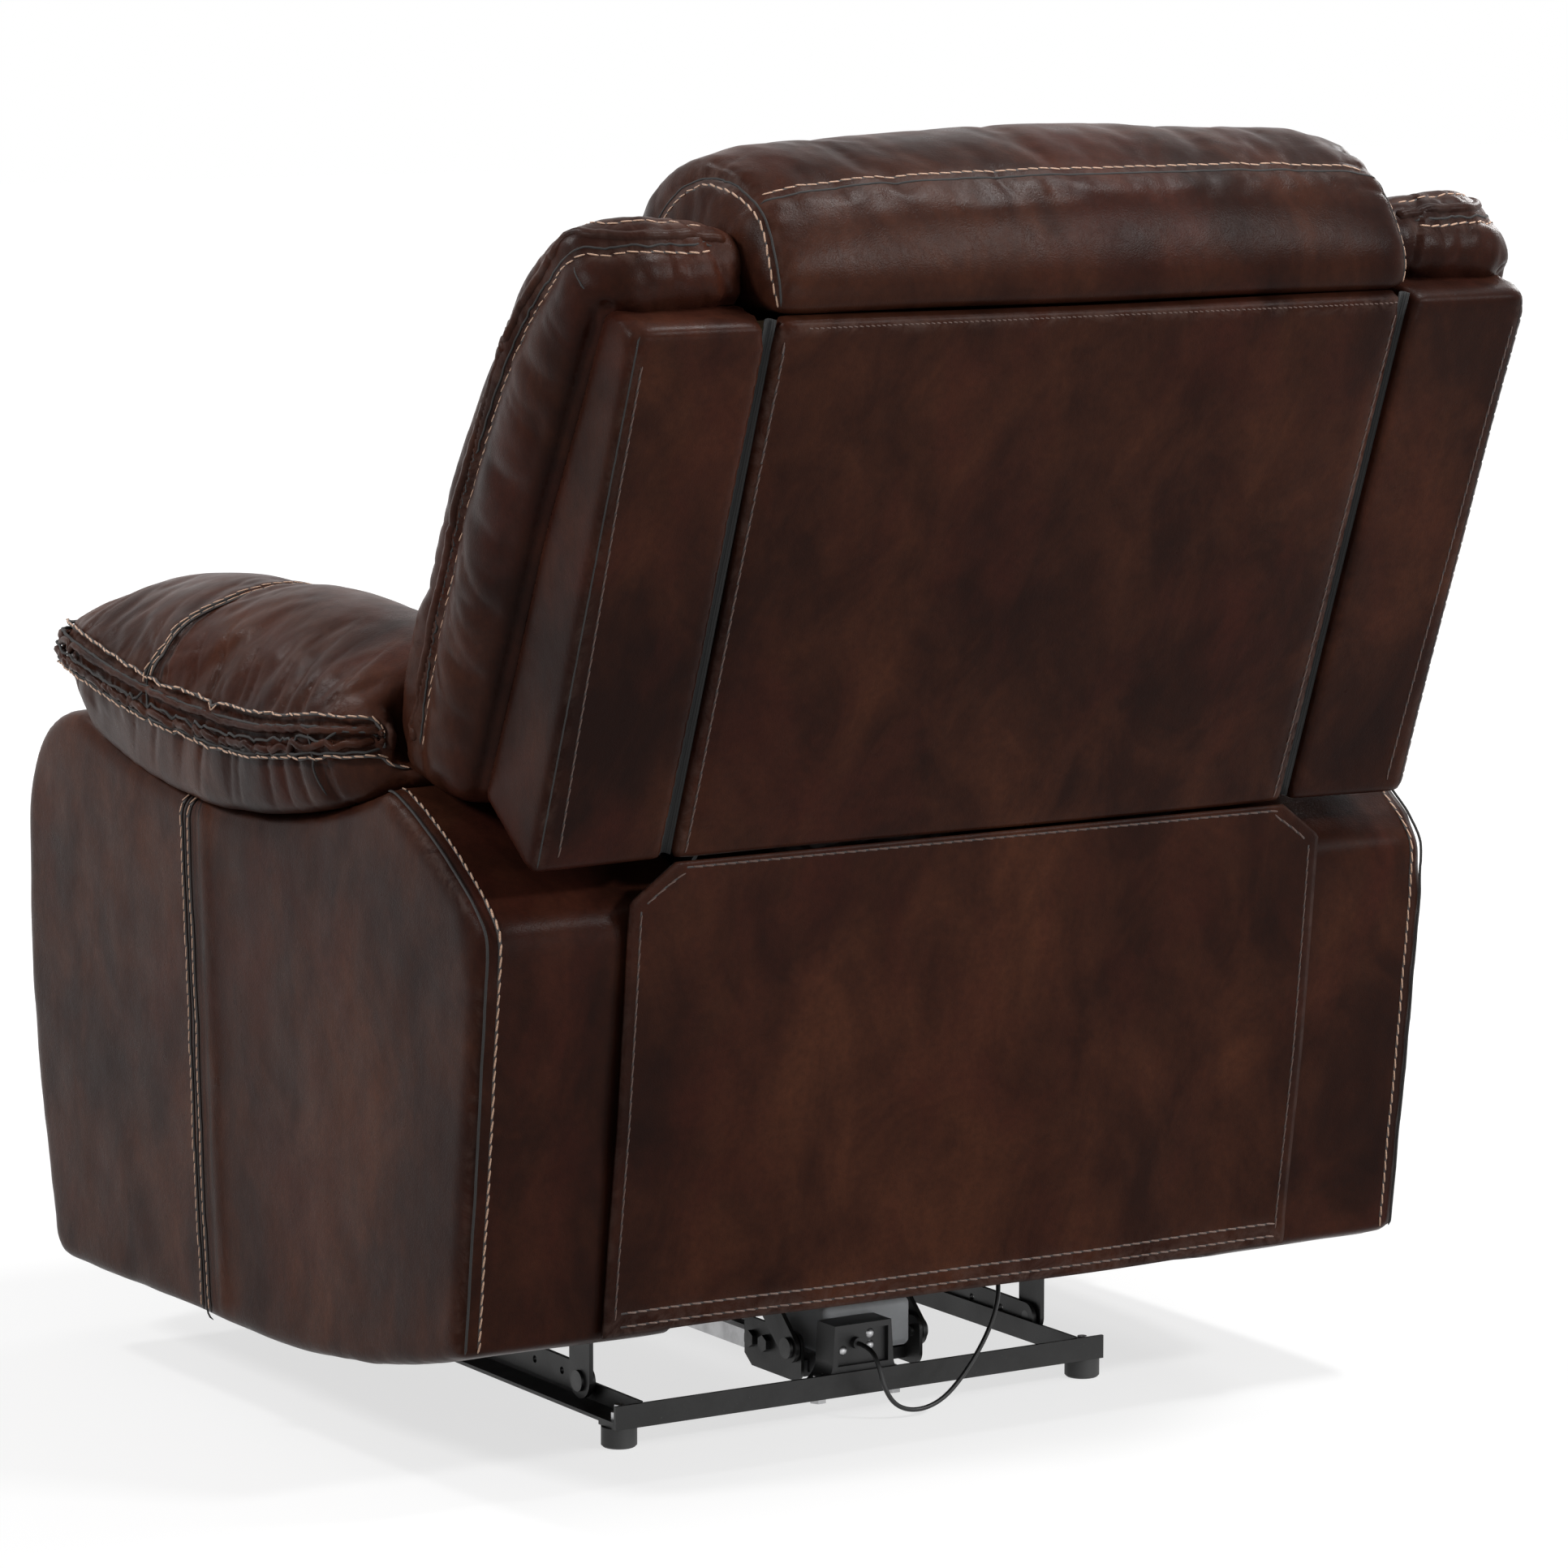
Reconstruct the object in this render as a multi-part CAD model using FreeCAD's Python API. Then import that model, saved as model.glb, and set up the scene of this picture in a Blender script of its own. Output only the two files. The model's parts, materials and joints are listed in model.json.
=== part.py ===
"""Power lift recliner: floor base, lift linkage, seat, reclining back and footrest.

Millimetres. The sitter faces -Y, the sitter's left is +X, the floor is Z = 0 and
the origin is the middle of the footprint on the floor. Side profiles are (y, z).
"""
import FreeCAD
import Part
import math
import os

V = FreeCAD.Vector

# Base frame
RAIL_OUT = 218.0            # outer face of each side rail's web
RAIL_T = 3.0                # gauge of the angle iron
RAIL_H = 20.0               # height of the angle iron
RAIL_FLANGE = 25.0          # width of the side rails' flange
REAR_Y = 175.0              # rear face of the rear rail
FRONT_Y = -433.0            # front face of the front rail
CROSS_FLANGE = 28.0         # depth of the cross rails' flange
FOOT_H = 17.0
FOOT_R = 15.0
FOOT_BEVEL = 1.5
FOOT_X = 231.0              # glide centre from the middle plane
FOOT_IN = 15.0              # glide centre from the cross rails' outer face
STUD_R = 4.0
NUT_AF = 13.0

# Lift linkage, pivots in the side view
PIVOT_A = (-325.0, 44.0)    # rear lift link on the base
PIVOT_B = (90.0, 40.0)      # rear lift link on the seat plate
PIVOT_C = (-355.0, 58.0)    # front lift link on the base
PIVOT_D = (-146.0, 77.0)    # front lift link on the seat plate
LINK_T = 4.0
PLANE_GAP = 1.0             # side play between neighbouring plates
LINK_W = 24.0
FRONT_LINK_W = 22.0
DROP_W = 33.0               # width of the seat plate's drop leg
PIN_R = 5.0
RUN = 0.08                  # radial running clearance of pins
OPEN_D = 1.3                # radial clearance of the open pivot D
HEAD_R = 9.0
HEAD_T = 3.0
TUBE_AT = (-300.0, 150.0)   # torque tube of the lift links
TUBE_R = 12.0
TUBE_WALL = 2.0

# Actuator
TRACK_Z = 50.0              # slider pivot height
SLIDER_Y = 118.0            # slider pivot at rest
ARM_PIN = (-290.0, 120.0)   # drive arm pin on the torque tube lugs
ARM_OPEN = 3.9              # radial clearance of the drive arm's front hole
YOKE_LEFT = 33.0            # inner face of the left yoke plate
YOKE_RIGHT = -83.0          # inner face of the right yoke plate
YOKE_T = 3.0
ARM_T = 4.0
MOTOR_X = (-67.0, 19.0)
TRACK_HALF = 14.0
TRACK_LOW = 24.0
TRACK_TOP = 40.0
YOKE_BOLTS = (SLIDER_Y - 64.0, SLIDER_Y - 42.0)
YOKE_BOLT_Z = 45.0
BRACKET_HALF = 30.0
BRACKET_Y = (144.0, 171.5)
BRACKET_TOP = 77.0
BRACKET_BOLTS = (-37.0, 37.0)
BRACKET_BOLT_Y = 159.0
BOLT_R = 4.0
FLANGE_TOP = FOOT_H + RAIL_T
CABLE_X = 5.0
CABLE_Z = 60.0
SCREWS = ((-10.0, 66.0), (-10.0, 56.0), (17.0, 54.0))
CABLE_R = 2.0
CABLE_POINTS = (
    (5.0, 172.8, 60.0), (5.0, 192.0, 60.0), (4.0, 203.0, 46.0), (2.0, 207.0, 29.0),
    (-7.0, 208.0, 14.0), (-22.0, 208.0, 6.5), (-40.0, 208.0, 6.2), (-58.0, 208.0, 13.0),
    (-75.0, 207.0, 27.0), (-91.0, 206.0, 45.0), (-106.0, 204.0, 66.0), (-117.0, 200.0, 88.0),
    (-122.0, 192.0, 109.0), (-120.0, 174.0, 124.0), (-110.0, 152.0, 126.0),
    (-99.0, 128.0, 115.0), (-87.0, 110.0, 102.0), (-62.8, 106.0, 99.0),
)

# Footrest linkage
BAR_L = 180.0
BAR_W = 22.0
BAR_T = 3.0
BAR_CLOSED = 15.0           # degrees from the upright when folded
BAR_OPEN = 60.0
REST_PIVOT = (-362.0, 296.0)
REST_OUT = 209.0            # outer face of the swing plates
REST_PIN_R = 4.0
BOARD_TOP = 402.0
BOARD_LOW = 108.0
BOARD_BACK = -474.0         # rear face of the footrest board
BOARD_T = 12.0
FRONT_FACE = -513.0         # crown of the footrest pad
BOARD_HALF = 255.0

# Seat
PLATE_X = 224.0             # inner face of the seat side plates
BEAM_Z = (150.0, 215.0)      # seat side plate's beam
SEAT_RAIL_Z = (180.0, 310.0)
ARM_IN = 262.0
ARM_OUT = 450.0
ARM_EDGE_R = 14.0
SEAT_TOP = 505.0
SEAT_HALF = 257.0
SOFT_GAP = 0.5              # clearance between soft parts
CUSHION_SHARES = (-1.0, -0.93, -0.8, -0.5, 0.0, 0.5, 0.8, 0.93, 1.0)
SEAT_GAP = 0.3              # clearance between pieces that seat on one another
SEAT_REAR = 229.0           # rear end of the timber rails
SPRING_R = 2.0
SPRING_BENDS = 8
WIRE_SIDES = 6              # flats of the spring wire's section

# Arm pads
PAD_X = 368.0
PAD_ROLL = 16.0             # how far the pad's underside is narrower than its seam
PAD_SECTIONS = (
    # y, half width, bottom, lower seam, upper seam, top
    (-398.0, 46.0, 612.0, 622.0, 636.0, 645.0),
    (-376.0, 82.0, 588.0, 614.0, 638.0, 662.0),
    (-320.0, 99.0, 548.0, 608.0, 634.0, 678.0),
    (-220.0, 104.0, 528.0, 593.0, 618.0, 688.0),
    (-100.0, 106.0, 512.0, 581.0, 606.0, 690.0),
    (20.0, 106.0, 512.0, 577.0, 602.0, 681.0),
    (110.0, 99.0, 524.0, 586.0, 609.0, 670.0),
    (150.0, 84.0, 540.0, 590.0, 611.0, 660.0),
    (186.0, 60.0, 560.0, 594.0, 612.0, 645.0),
)

# Back
HINGE = (210.0, 450.0)
PANEL_HALF = 293.0
PANEL_T = 16.0
PANEL_SEAM = 10.0           # open seam between the rear panel and each wing
WING_IN = PANEL_HALF + PANEL_SEAM
WING_W = 118.0
WING_OUT = WING_IN + WING_W
BOLSTER_OUT = WING_OUT + 9.0
REAR_LOW = (354.0, 517.0)   # rear face of the back, lower edge
REAR_TOP = (512.5, 946.0)   # rear face of the back, upper edge
WING_TOP = (REAR_TOP[0] + 0.5, REAR_TOP[1] - 1.0)
WING_LOW = (REAR_LOW[0] - 3.0, REAR_LOW[1] - 4.0)
# share of the way up the back, depth in front of its rear face
WING_FRONT = ((0.045, 90.8), (0.584, 73.1), (0.991, 48.1))
BOLSTER_TOP = ((1.082, 13.6), (1.139, 42.1), (1.069, 110.3))
BOLSTER_FRONT = ((0.956, 155.2), (0.63, 204.5), (0.296, 224.9), (0.143, 235.3), (0.04, 224.3))
BOLSTER_FOOT = ((-0.004, 210.3), (-0.004, 189.1))
BOLSTER_DRAW = 14.0         # how far the bolster's sides draw in
HEADREST_HALF = WING_IN - 3.0
HEADREST_RISE = 139.0       # height above the back's upper edge
HEADREST_DEPTH = 250.5      # from the back's upper edge forward
BACK_RAIL_F = (16.3, 44.0)  # rails' depth range in front of the rear face
POST_F = (44.3, 92.3)
POST_X = (233.0, 257.0)
LUMBAR_Z = (440.0, 702.0)
LUMBAR_DEPTH = 262.0        # from the rear face to the lumbar cushion's front
UPPER_Z = (LUMBAR_Z[1] + 4.0, REAR_TOP[1] - 44.0)
UPPER_DEPTHS = (258.0, 238.0)

# Rear flap
FLAP_T = 3.0
FLAP_HALF = 334.0
FLAP_LOW = 132.0
FLAP_NOTCH_Z = 487.0        # where the cut-in top corners start
FLAP_HANG = ((347.5, 470.0), (330.0, 300.0), (307.0, FLAP_LOW))

# Controls
BUTTON_Y = -150.0
BUTTON_Z = 440.0
BUTTON_PITCH = 26.0
BUTTON_TRAVEL = 2.5

# Planes that follow from the sizes above
LINK1_X = RAIL_OUT + PLANE_GAP
LINK2_X = RAIL_OUT - RAIL_T - PLANE_GAP - LINK_T
PLATE_T = LINK_T
PLATE_OUT = PLATE_X + PLATE_T
RAIL_IN = RAIL_OUT - RAIL_T
SIDE_LOW = FOOT_H + RAIL_T          # side rails lie on the cross rails' flanges
SIDE_HIGH = SIDE_LOW + 18.0
CROSS_HIGH = FOOT_H + RAIL_H


def save(name, *solids):
    """Write one node; several solids go into one compound."""
    flat = []
    for item in solids:
        flat.extend(item.Solids)
    shape = flat[0] if len(flat) == 1 else Part.makeCompound(flat)
    shape.exportStep("parts/%s.step" % name)


def mirrored(shape):
    return shape.mirror(V(0, 0, 0), V(1, 0, 0))


def both(shape):
    return Part.makeCompound([shape, mirrored(shape)])


def box(x0, x1, y0, y1, z0, z1):
    return Part.makeBox(x1 - x0, y1 - y0, z1 - z0, V(x0, y0, z0))


def at(x, p):
    return V(x, p[0], p[1])


def profile(x, steps):
    """Closed side-view wire at x; a step is a point, or (mid, end) for an arc."""
    start = steps[0]
    here = start
    edges = []
    for step in list(steps[1:]) + [start]:
        if isinstance(step[0], tuple):
            mid, end = step
            edges.append(Part.Arc(at(x, here), at(x, mid), at(x, end)).toShape())
        else:
            end = step
            if math.dist(here, end) < 1e-6:
                continue
            edges.append(Part.makeLine(at(x, here), at(x, end)))
        here = end
    return Part.Wire(edges)


def slab(x0, x1, steps):
    """Side-view outline extruded from x0 to x1."""
    return Part.Face(profile(x0, steps)).extrude(V(x1 - x0, 0, 0))


def rod_x(p, r, x0, x1):
    return Part.makeCylinder(r, x1 - x0, at(x0, p), V(1, 0, 0))


def hex_prism(centre, direction, across, height):
    """Hexagonal head or nut on an axis."""
    r = across / math.sqrt(3.0)
    pts = []
    for i in range(7):
        a = math.radians(60 * i)
        pts.append(V(r * math.cos(a), r * math.sin(a), 0))
    solid = Part.Face(Part.makePolygon(pts)).extrude(V(0, 0, height))
    turn = FreeCAD.Rotation(V(0, 0, 1), direction)
    solid.Placement = FreeCAD.Placement(centre, turn)
    return solid


def bar(p, q, width, x0, t, holes=()):
    """Flat bar with round ends between two side-view points."""
    length = math.dist(p, q)
    u = ((q[0] - p[0]) / length, (q[1] - p[1]) / length)
    n = (-u[1] * width / 2, u[0] * width / 2)
    h = width / 2
    steps = [
        (p[0] + n[0], p[1] + n[1]),
        ((p[0] - u[0] * h, p[1] - u[1] * h), (p[0] - n[0], p[1] - n[1])),
        (q[0] - n[0], q[1] - n[1]),
        ((q[0] + u[0] * h, q[1] + u[1] * h), (q[0] + n[0], q[1] + n[1])),
    ]
    solid = slab(x0, x0 + t, steps)
    return drilled(solid, x0, x0 + t, holes)


def drilled(solid, x0, x1, holes):
    for centre, r in holes:
        solid = solid.cut(rod_x(centre, r, x0 - 1, x1 + 1))
    return solid


def side_rail():
    """Left side rail: an angle with a raised cheek for the front pivots."""
    y0 = FRONT_Y + RAIL_T + 0.3
    y1 = REAR_Y - RAIL_T - 0.3
    cheek_top = PIVOT_C[1] + 18
    steps = [
        (y0, SIDE_LOW),
        (y0, SIDE_HIGH),
        (PIVOT_C[0] - 34, SIDE_HIGH),
        (PIVOT_C[0] - 14, cheek_top - 6),
        ((PIVOT_C[0] - 8, cheek_top - 1), (PIVOT_C[0], cheek_top)),
        (PIVOT_A[0] + 4, PIVOT_A[1] + 18),
        ((PIVOT_A[0] + 12, PIVOT_A[1] + 14), (PIVOT_A[0] + 18, PIVOT_A[1] + 7)),
        (PIVOT_A[0] + 34, SIDE_HIGH),
        (y1, SIDE_HIGH),
        (y1, SIDE_LOW),
    ]
    web = slab(RAIL_IN, RAIL_OUT, steps)
    flange = box(RAIL_IN, RAIL_IN + RAIL_FLANGE + RAIL_T, y0, y1, SIDE_LOW, SIDE_LOW + RAIL_T)
    rail = web.fuse(flange).removeSplitter()
    rail = drilled(rail, RAIL_IN, RAIL_OUT, [(PIVOT_A, PIN_R + 0.02), (PIVOT_C, PIN_R + 0.02)])
    for y in foot_rows():
        rail = rail.cut(Part.makeCylinder(STUD_R + 0.2, 20, V(FOOT_X, y, SIDE_LOW - 5)))
    return rail


def foot_rows():
    return (FRONT_Y + FOOT_IN, REAR_Y - FOOT_IN)


def cross_rail(outer_y, inward):
    """Angle iron across the base; inward is +1 for the front rail, -1 for the rear."""
    half = RAIL_IN + RAIL_FLANGE + RAIL_T
    y_web = sorted((outer_y, outer_y + inward * RAIL_T))
    y_flange = sorted((outer_y, outer_y + inward * CROSS_FLANGE))
    web = box(-half, half, y_web[0], y_web[1], FOOT_H, CROSS_HIGH)
    flange = box(-half, half, y_flange[0], y_flange[1], FOOT_H, FOOT_H + RAIL_T)
    rail = web.fuse(flange).removeSplitter()
    y = outer_y + inward * FOOT_IN
    for x in (-FOOT_X, FOOT_X):
        rail = rail.cut(Part.makeCylinder(STUD_R + 0.2, 20, V(x, y, FOOT_H - 5)))
    if inward < 0:
        for x in BRACKET_BOLTS:
            rail = rail.cut(Part.makeCylinder(BOLT_R + 0.3, 20, V(x, BRACKET_BOLT_Y, FOOT_H - 5)))
    return rail


def glide(x, y):
    """Round glide: a short puck with a bevelled sole."""
    puck = Part.makeCylinder(FOOT_R, FOOT_H, V(x, y, 0))
    low = [e for e in puck.Edges if e.BoundBox.ZMax < 0.1 and e.Length > FOOT_R]
    return puck.makeChamfer(FOOT_BEVEL, low)


def glide_stud(x, y):
    """Threaded stud standing on the glide with its nut on the rail flange."""
    seat = SIDE_LOW + RAIL_T
    shank = Part.makeCylinder(STUD_R, seat + 12 - FOOT_H, V(x, y, FOOT_H))
    nut = hex_prism(V(x, y, seat), V(0, 0, 1), NUT_AF, 6.0)
    return shank.fuse(nut)


def base_pins():
    """Riveted pins of pivots A and C; each shank is flush with its far plate."""
    a = rod_x(PIVOT_A, PIN_R, RAIL_IN, LINK1_X + LINK_T + 0.3)
    a = a.fuse(rod_x(PIVOT_A, HEAD_R, LINK1_X + LINK_T + 0.3, LINK1_X + LINK_T + 2.3))
    c = rod_x(PIVOT_C, PIN_R, LINK2_X - 0.3, RAIL_OUT)
    c = c.fuse(rod_x(PIVOT_C, HEAD_R, LINK2_X - 0.3 - HEAD_T, LINK2_X - 0.3))
    return [a, mirrored(a), c, mirrored(c)]


def lift_link():
    """Left rear lift link with the ear that carries the torque tube."""
    flat = bar(PIVOT_A, PIVOT_B, LINK_W, LINK1_X, LINK_T)
    tx, tz = TUBE_AT
    ear = slab(LINK1_X, LINK1_X + LINK_T, [
        (PIVOT_A[0] - 4, PIVOT_A[1] + 8),
        (tx - TUBE_R - 6, tz),
        ((tx, tz + TUBE_R + 6), (tx + TUBE_R + 6, tz)),
        (PIVOT_A[0] + 90, PIVOT_A[1] + 8),
    ])
    link = flat.fuse(ear).removeSplitter()
    holes = [(PIVOT_A, PIN_R + RUN), (PIVOT_B, PIN_R + RUN)]
    for share in (0.80, 0.91):
        y = PIVOT_A[0] + share * (PIVOT_B[0] - PIVOT_A[0])
        z = PIVOT_A[1] + share * (PIVOT_B[1] - PIVOT_A[1])
        holes.append(((y, z), 3.2))
    return drilled(link, LINK1_X, LINK1_X + LINK_T, holes)


def torque_tube():
    """Tube between the lift links with a lug beside each drive arm."""
    tube = rod_x(TUBE_AT, TUBE_R, -LINK1_X, LINK1_X)
    tube = tube.cut(rod_x(TUBE_AT, TUBE_R - TUBE_WALL, -LINK1_X - 1, LINK1_X + 1))
    parts = [tube]
    for x0, side in arm_planes():
        lug_x = x0 + ARM_T + 1 if side > 0 else x0 - 1 - ARM_T
        lug = bar(TUBE_AT, ARM_PIN, 2 * TUBE_R + 8, lug_x, ARM_T)
        lug = lug.cut(rod_x(TUBE_AT, TUBE_R - TUBE_WALL, lug_x - 1, lug_x + ARM_T + 1))
        far = x0 - 0.5 if side > 0 else x0 + ARM_T + 0.5
        near = lug_x + ARM_T if side > 0 else lug_x
        lo, hi = min(far, near), max(far, near)
        pin = rod_x(ARM_PIN, PIN_R, lo, hi)
        cap_lo = far - 2.5 if side > 0 else far
        cap = rod_x(ARM_PIN, PIN_R + ARM_OPEN + 3, cap_lo, cap_lo + 2.5)
        parts.append(lug.fuse(pin).fuse(cap))
    whole = parts[0]
    for part in parts[1:]:
        whole = whole.fuse(part)
    return whole.removeSplitter()


def arm_planes():
    """Inner-most x of each drive arm and the side it lies on."""
    left = YOKE_LEFT + YOKE_T + PLANE_GAP
    right = YOKE_RIGHT - YOKE_T - PLANE_GAP - ARM_T
    return ((left, 1), (right, -1))


def drive_arm(x0):
    """Bent drive arm from the slider pivot up and forward to the torque tube."""
    rear = (SLIDER_Y, TRACK_Z)
    knee = (SLIDER_Y - 44, TRACK_Z + 40)
    first = bar(rear, knee, 26, x0, ARM_T)
    second = bar(knee, ARM_PIN, 26, x0, ARM_T)
    tip = rod_x(ARM_PIN, PIN_R + ARM_OPEN + 7, x0, x0 + ARM_T)
    arm = first.fuse(second).fuse(tip).removeSplitter()
    return drilled(arm, x0, x0 + ARM_T, [(rear, PIN_R + RUN), (ARM_PIN, PIN_R + ARM_OPEN)])


def slider_block():
    """Carriage on the track, under the motor."""
    body = box(TRACK_HALF + 1, YOKE_LEFT, SLIDER_Y - 70, SLIDER_Y - 10, 24, 34)
    left = body
    right = box(YOKE_RIGHT, -TRACK_HALF - 1, SLIDER_Y - 70, SLIDER_Y - 10, 24, 34)
    under = box(-TRACK_HALF - 1, TRACK_HALF + 1, SLIDER_Y - 70, SLIDER_Y - 10, 20, TRACK_LOW - 0.5)
    side_l = box(TRACK_HALF + 1, TRACK_HALF + 5, SLIDER_Y - 70, SLIDER_Y - 10, 20, 24)
    side_r = mirrored(side_l)
    return left.fuse(right).fuse(under).fuse(side_l).fuse(side_r).removeSplitter()


def yoke_plate(x0):
    """Side plate of the slider with its rear pivot and two bolt holes."""
    steps = [
        (SLIDER_Y - 78, 30),
        (SLIDER_Y - 78, 58),
        ((SLIDER_Y - 75, 62), (SLIDER_Y - 70, 63)),
        (SLIDER_Y + 2, 63),
        ((SLIDER_Y + 10, 60), (SLIDER_Y + 13, 52)),
        (SLIDER_Y + 13, 34),
        ((SLIDER_Y + 10, 25), (SLIDER_Y + 2, 21)),
        (SLIDER_Y - 66, 21),
    ]
    plate = slab(x0, x0 + YOKE_T, steps)
    holes = [((SLIDER_Y, TRACK_Z), PIN_R + 0.02)]
    holes += [((y, YOKE_BOLT_Z), 4.0) for y in YOKE_BOLTS]
    return drilled(plate, x0, x0 + YOKE_T, holes)


def yoke_bolts():
    """Hex bolts and pivot studs on both yoke plates."""
    made = []
    for inner, side in ((YOKE_LEFT, 1), (YOKE_RIGHT, -1)):
        outer = inner + side * YOKE_T
        for y in YOKE_BOLTS:
            lo, hi = sorted((inner - side * 4.0, outer))
            shank = rod_x((y, YOKE_BOLT_Z), 3.95, lo, hi)
            head = hex_prism(V(outer, y, YOKE_BOLT_Z), V(side, 0, 0), 13.0, 5.0)
            made.append(shank.fuse(head))
        arm_out = outer + side * (PLANE_GAP + ARM_T + 0.4)
        lo, hi = sorted((inner - side * 3.0, arm_out))
        stud = rod_x((SLIDER_Y, TRACK_Z), PIN_R, lo, hi)
        lo, hi = sorted((arm_out, arm_out + side * HEAD_T))
        made.append(stud.fuse(rod_x((SLIDER_Y, TRACK_Z), HEAD_R, lo, hi)))
    return made


def actuator_bracket():
    """Moulded end bracket with flared feet and a recessed rear face."""
    y0, y1 = BRACKET_Y
    foot = 48.0
    pts = [
        V(-foot, y0, FLANGE_TOP), V(foot, y0, FLANGE_TOP), V(foot, y0, FLANGE_TOP + 6),
    ]
    edges = [
        Part.makeLine(pts[0], pts[1]),
        Part.makeLine(pts[1], pts[2]),
        Part.Arc(pts[2], V(34.5, y0, FLANGE_TOP + 13), V(BRACKET_HALF, y0, FLANGE_TOP + 26)).toShape(),
        Part.makeLine(V(BRACKET_HALF, y0, FLANGE_TOP + 26), V(BRACKET_HALF - 2, y0, BRACKET_TOP)),
        Part.makeLine(V(BRACKET_HALF - 2, y0, BRACKET_TOP), V(2 - BRACKET_HALF, y0, BRACKET_TOP)),
        Part.makeLine(V(2 - BRACKET_HALF, y0, BRACKET_TOP), V(-BRACKET_HALF, y0, FLANGE_TOP + 26)),
        Part.Arc(V(-BRACKET_HALF, y0, FLANGE_TOP + 26), V(-34.5, y0, FLANGE_TOP + 13),
                 V(-foot, y0, FLANGE_TOP + 6)).toShape(),
        Part.makeLine(V(-foot, y0, FLANGE_TOP + 6), pts[0]),
    ]
    body = Part.Face(Part.Wire(edges)).extrude(V(0, y1 - y0, 0))
    recess = box(5 - BRACKET_HALF, BRACKET_HALF - 5, y1 - 5, y1 + 1, 42, BRACKET_TOP - 5)
    body = body.cut(recess)
    nose = Part.makeCylinder(5.0, 6.0, V(CABLE_X, y1 - 5, CABLE_Z), V(0, 1, 0))
    body = body.fuse(nose)
    for x in BRACKET_BOLTS:
        body = body.cut(Part.makeCylinder(BOLT_R + 0.2, 40, V(x, BRACKET_BOLT_Y, 10)))
    for x, z in SCREWS:
        body = body.cut(Part.makeCylinder(2.0, 12, V(x, y1 - 12, z), V(0, 1, 0)))
    return body.removeSplitter()


def bracket_screws():
    made = []
    y = BRACKET_Y[1] - 5
    for x, z in SCREWS:
        shank = Part.makeCylinder(1.9, 7, V(x, y - 7, z), V(0, 1, 0))
        head = Part.makeSphere(5.2, V(x, y - 3.0, z))
        head = head.common(box(x - 6, x + 6, y, y + 6, z - 6, z + 6))
        made.append(shank.fuse(head))
    return made


def rail_bolts():
    """Two bolts up through the rear rail into the bracket's feet."""
    made = []
    for x in BRACKET_BOLTS:
        shank = Part.makeCylinder(BOLT_R, 17, V(x, BRACKET_BOLT_Y, FOOT_H))
        head = hex_prism(V(x, BRACKET_BOLT_Y, FOOT_H - 6), V(0, 0, 1), 13.0, 6.0)
        made.append(shank.fuse(head))
    return made


def rounded_box(x0, x1, y0, y1, z0, z1, r):
    solid = box(x0, x1, y0, y1, z0, z1)
    return solid.makeFillet(r, solid.Edges)


def motor_housing():
    """Pale moulded housing: gear case over the track and the motor can beside it."""
    gear = rounded_box(MOTOR_X[0], MOTOR_X[1], 62, 142, 44, 86, 6)
    can = Part.makeCylinder(24, 92, V(MOTOR_X[0] + 26, 62, 66), V(0, -1, 0))
    can = can.makeFillet(4, [e for e in can.Edges if e.BoundBox.YMax < -29])
    neck = box(-13, 13, 100, BRACKET_Y[0], 42, 72)
    return gear.fuse(can).fuse(neck).removeSplitter()


def drive_track():
    """Steel channel under the motor, from the rear bracket to the front rail."""
    y0 = FRONT_Y + CROSS_FLANGE + 6
    y1 = BRACKET_Y[0] - 0.3
    outer = box(-TRACK_HALF, TRACK_HALF, y0, y1, TRACK_LOW, TRACK_TOP)
    inner = box(3 - TRACK_HALF, TRACK_HALF - 3, y0 - 1, y1 + 1, TRACK_LOW + 3, TRACK_TOP - 3)
    slot = box(-5, 5, y0 + 20, y1 - 8, TRACK_TOP - 4, TRACK_TOP + 1)
    return outer.cut(inner).cut(slot)


def lead_screw():
    y0 = FRONT_Y + CROSS_FLANGE + 12
    y1 = BRACKET_Y[0] - 6
    z = (TRACK_LOW + TRACK_TOP) / 2
    return Part.makeCylinder(4.5, y1 - y0, V(0, y0, z), V(0, 1, 0))


def track_bracket():
    """Cranked strap that holds the track's front end on the front rail."""
    y0 = FRONT_Y + RAIL_T + 0.5
    y1 = FRONT_Y + CROSS_FLANGE + 16
    foot = box(-20, 20, y0, FRONT_Y + CROSS_FLANGE, FLANGE_TOP, FLANGE_TOP + 3)
    web = box(-20, 20, y0, y0 + 3, FLANGE_TOP, TRACK_TOP + 3)
    top = box(-20, 20, y0, y1, TRACK_TOP, TRACK_TOP + 3)
    return foot.fuse(web).fuse(top).removeSplitter()


def control_box():
    """Junction box clipped on the gear case; the motor cable ends in it."""
    return rounded_box(-62, 8, 66, 132, 86.0, 112, 4)


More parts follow.
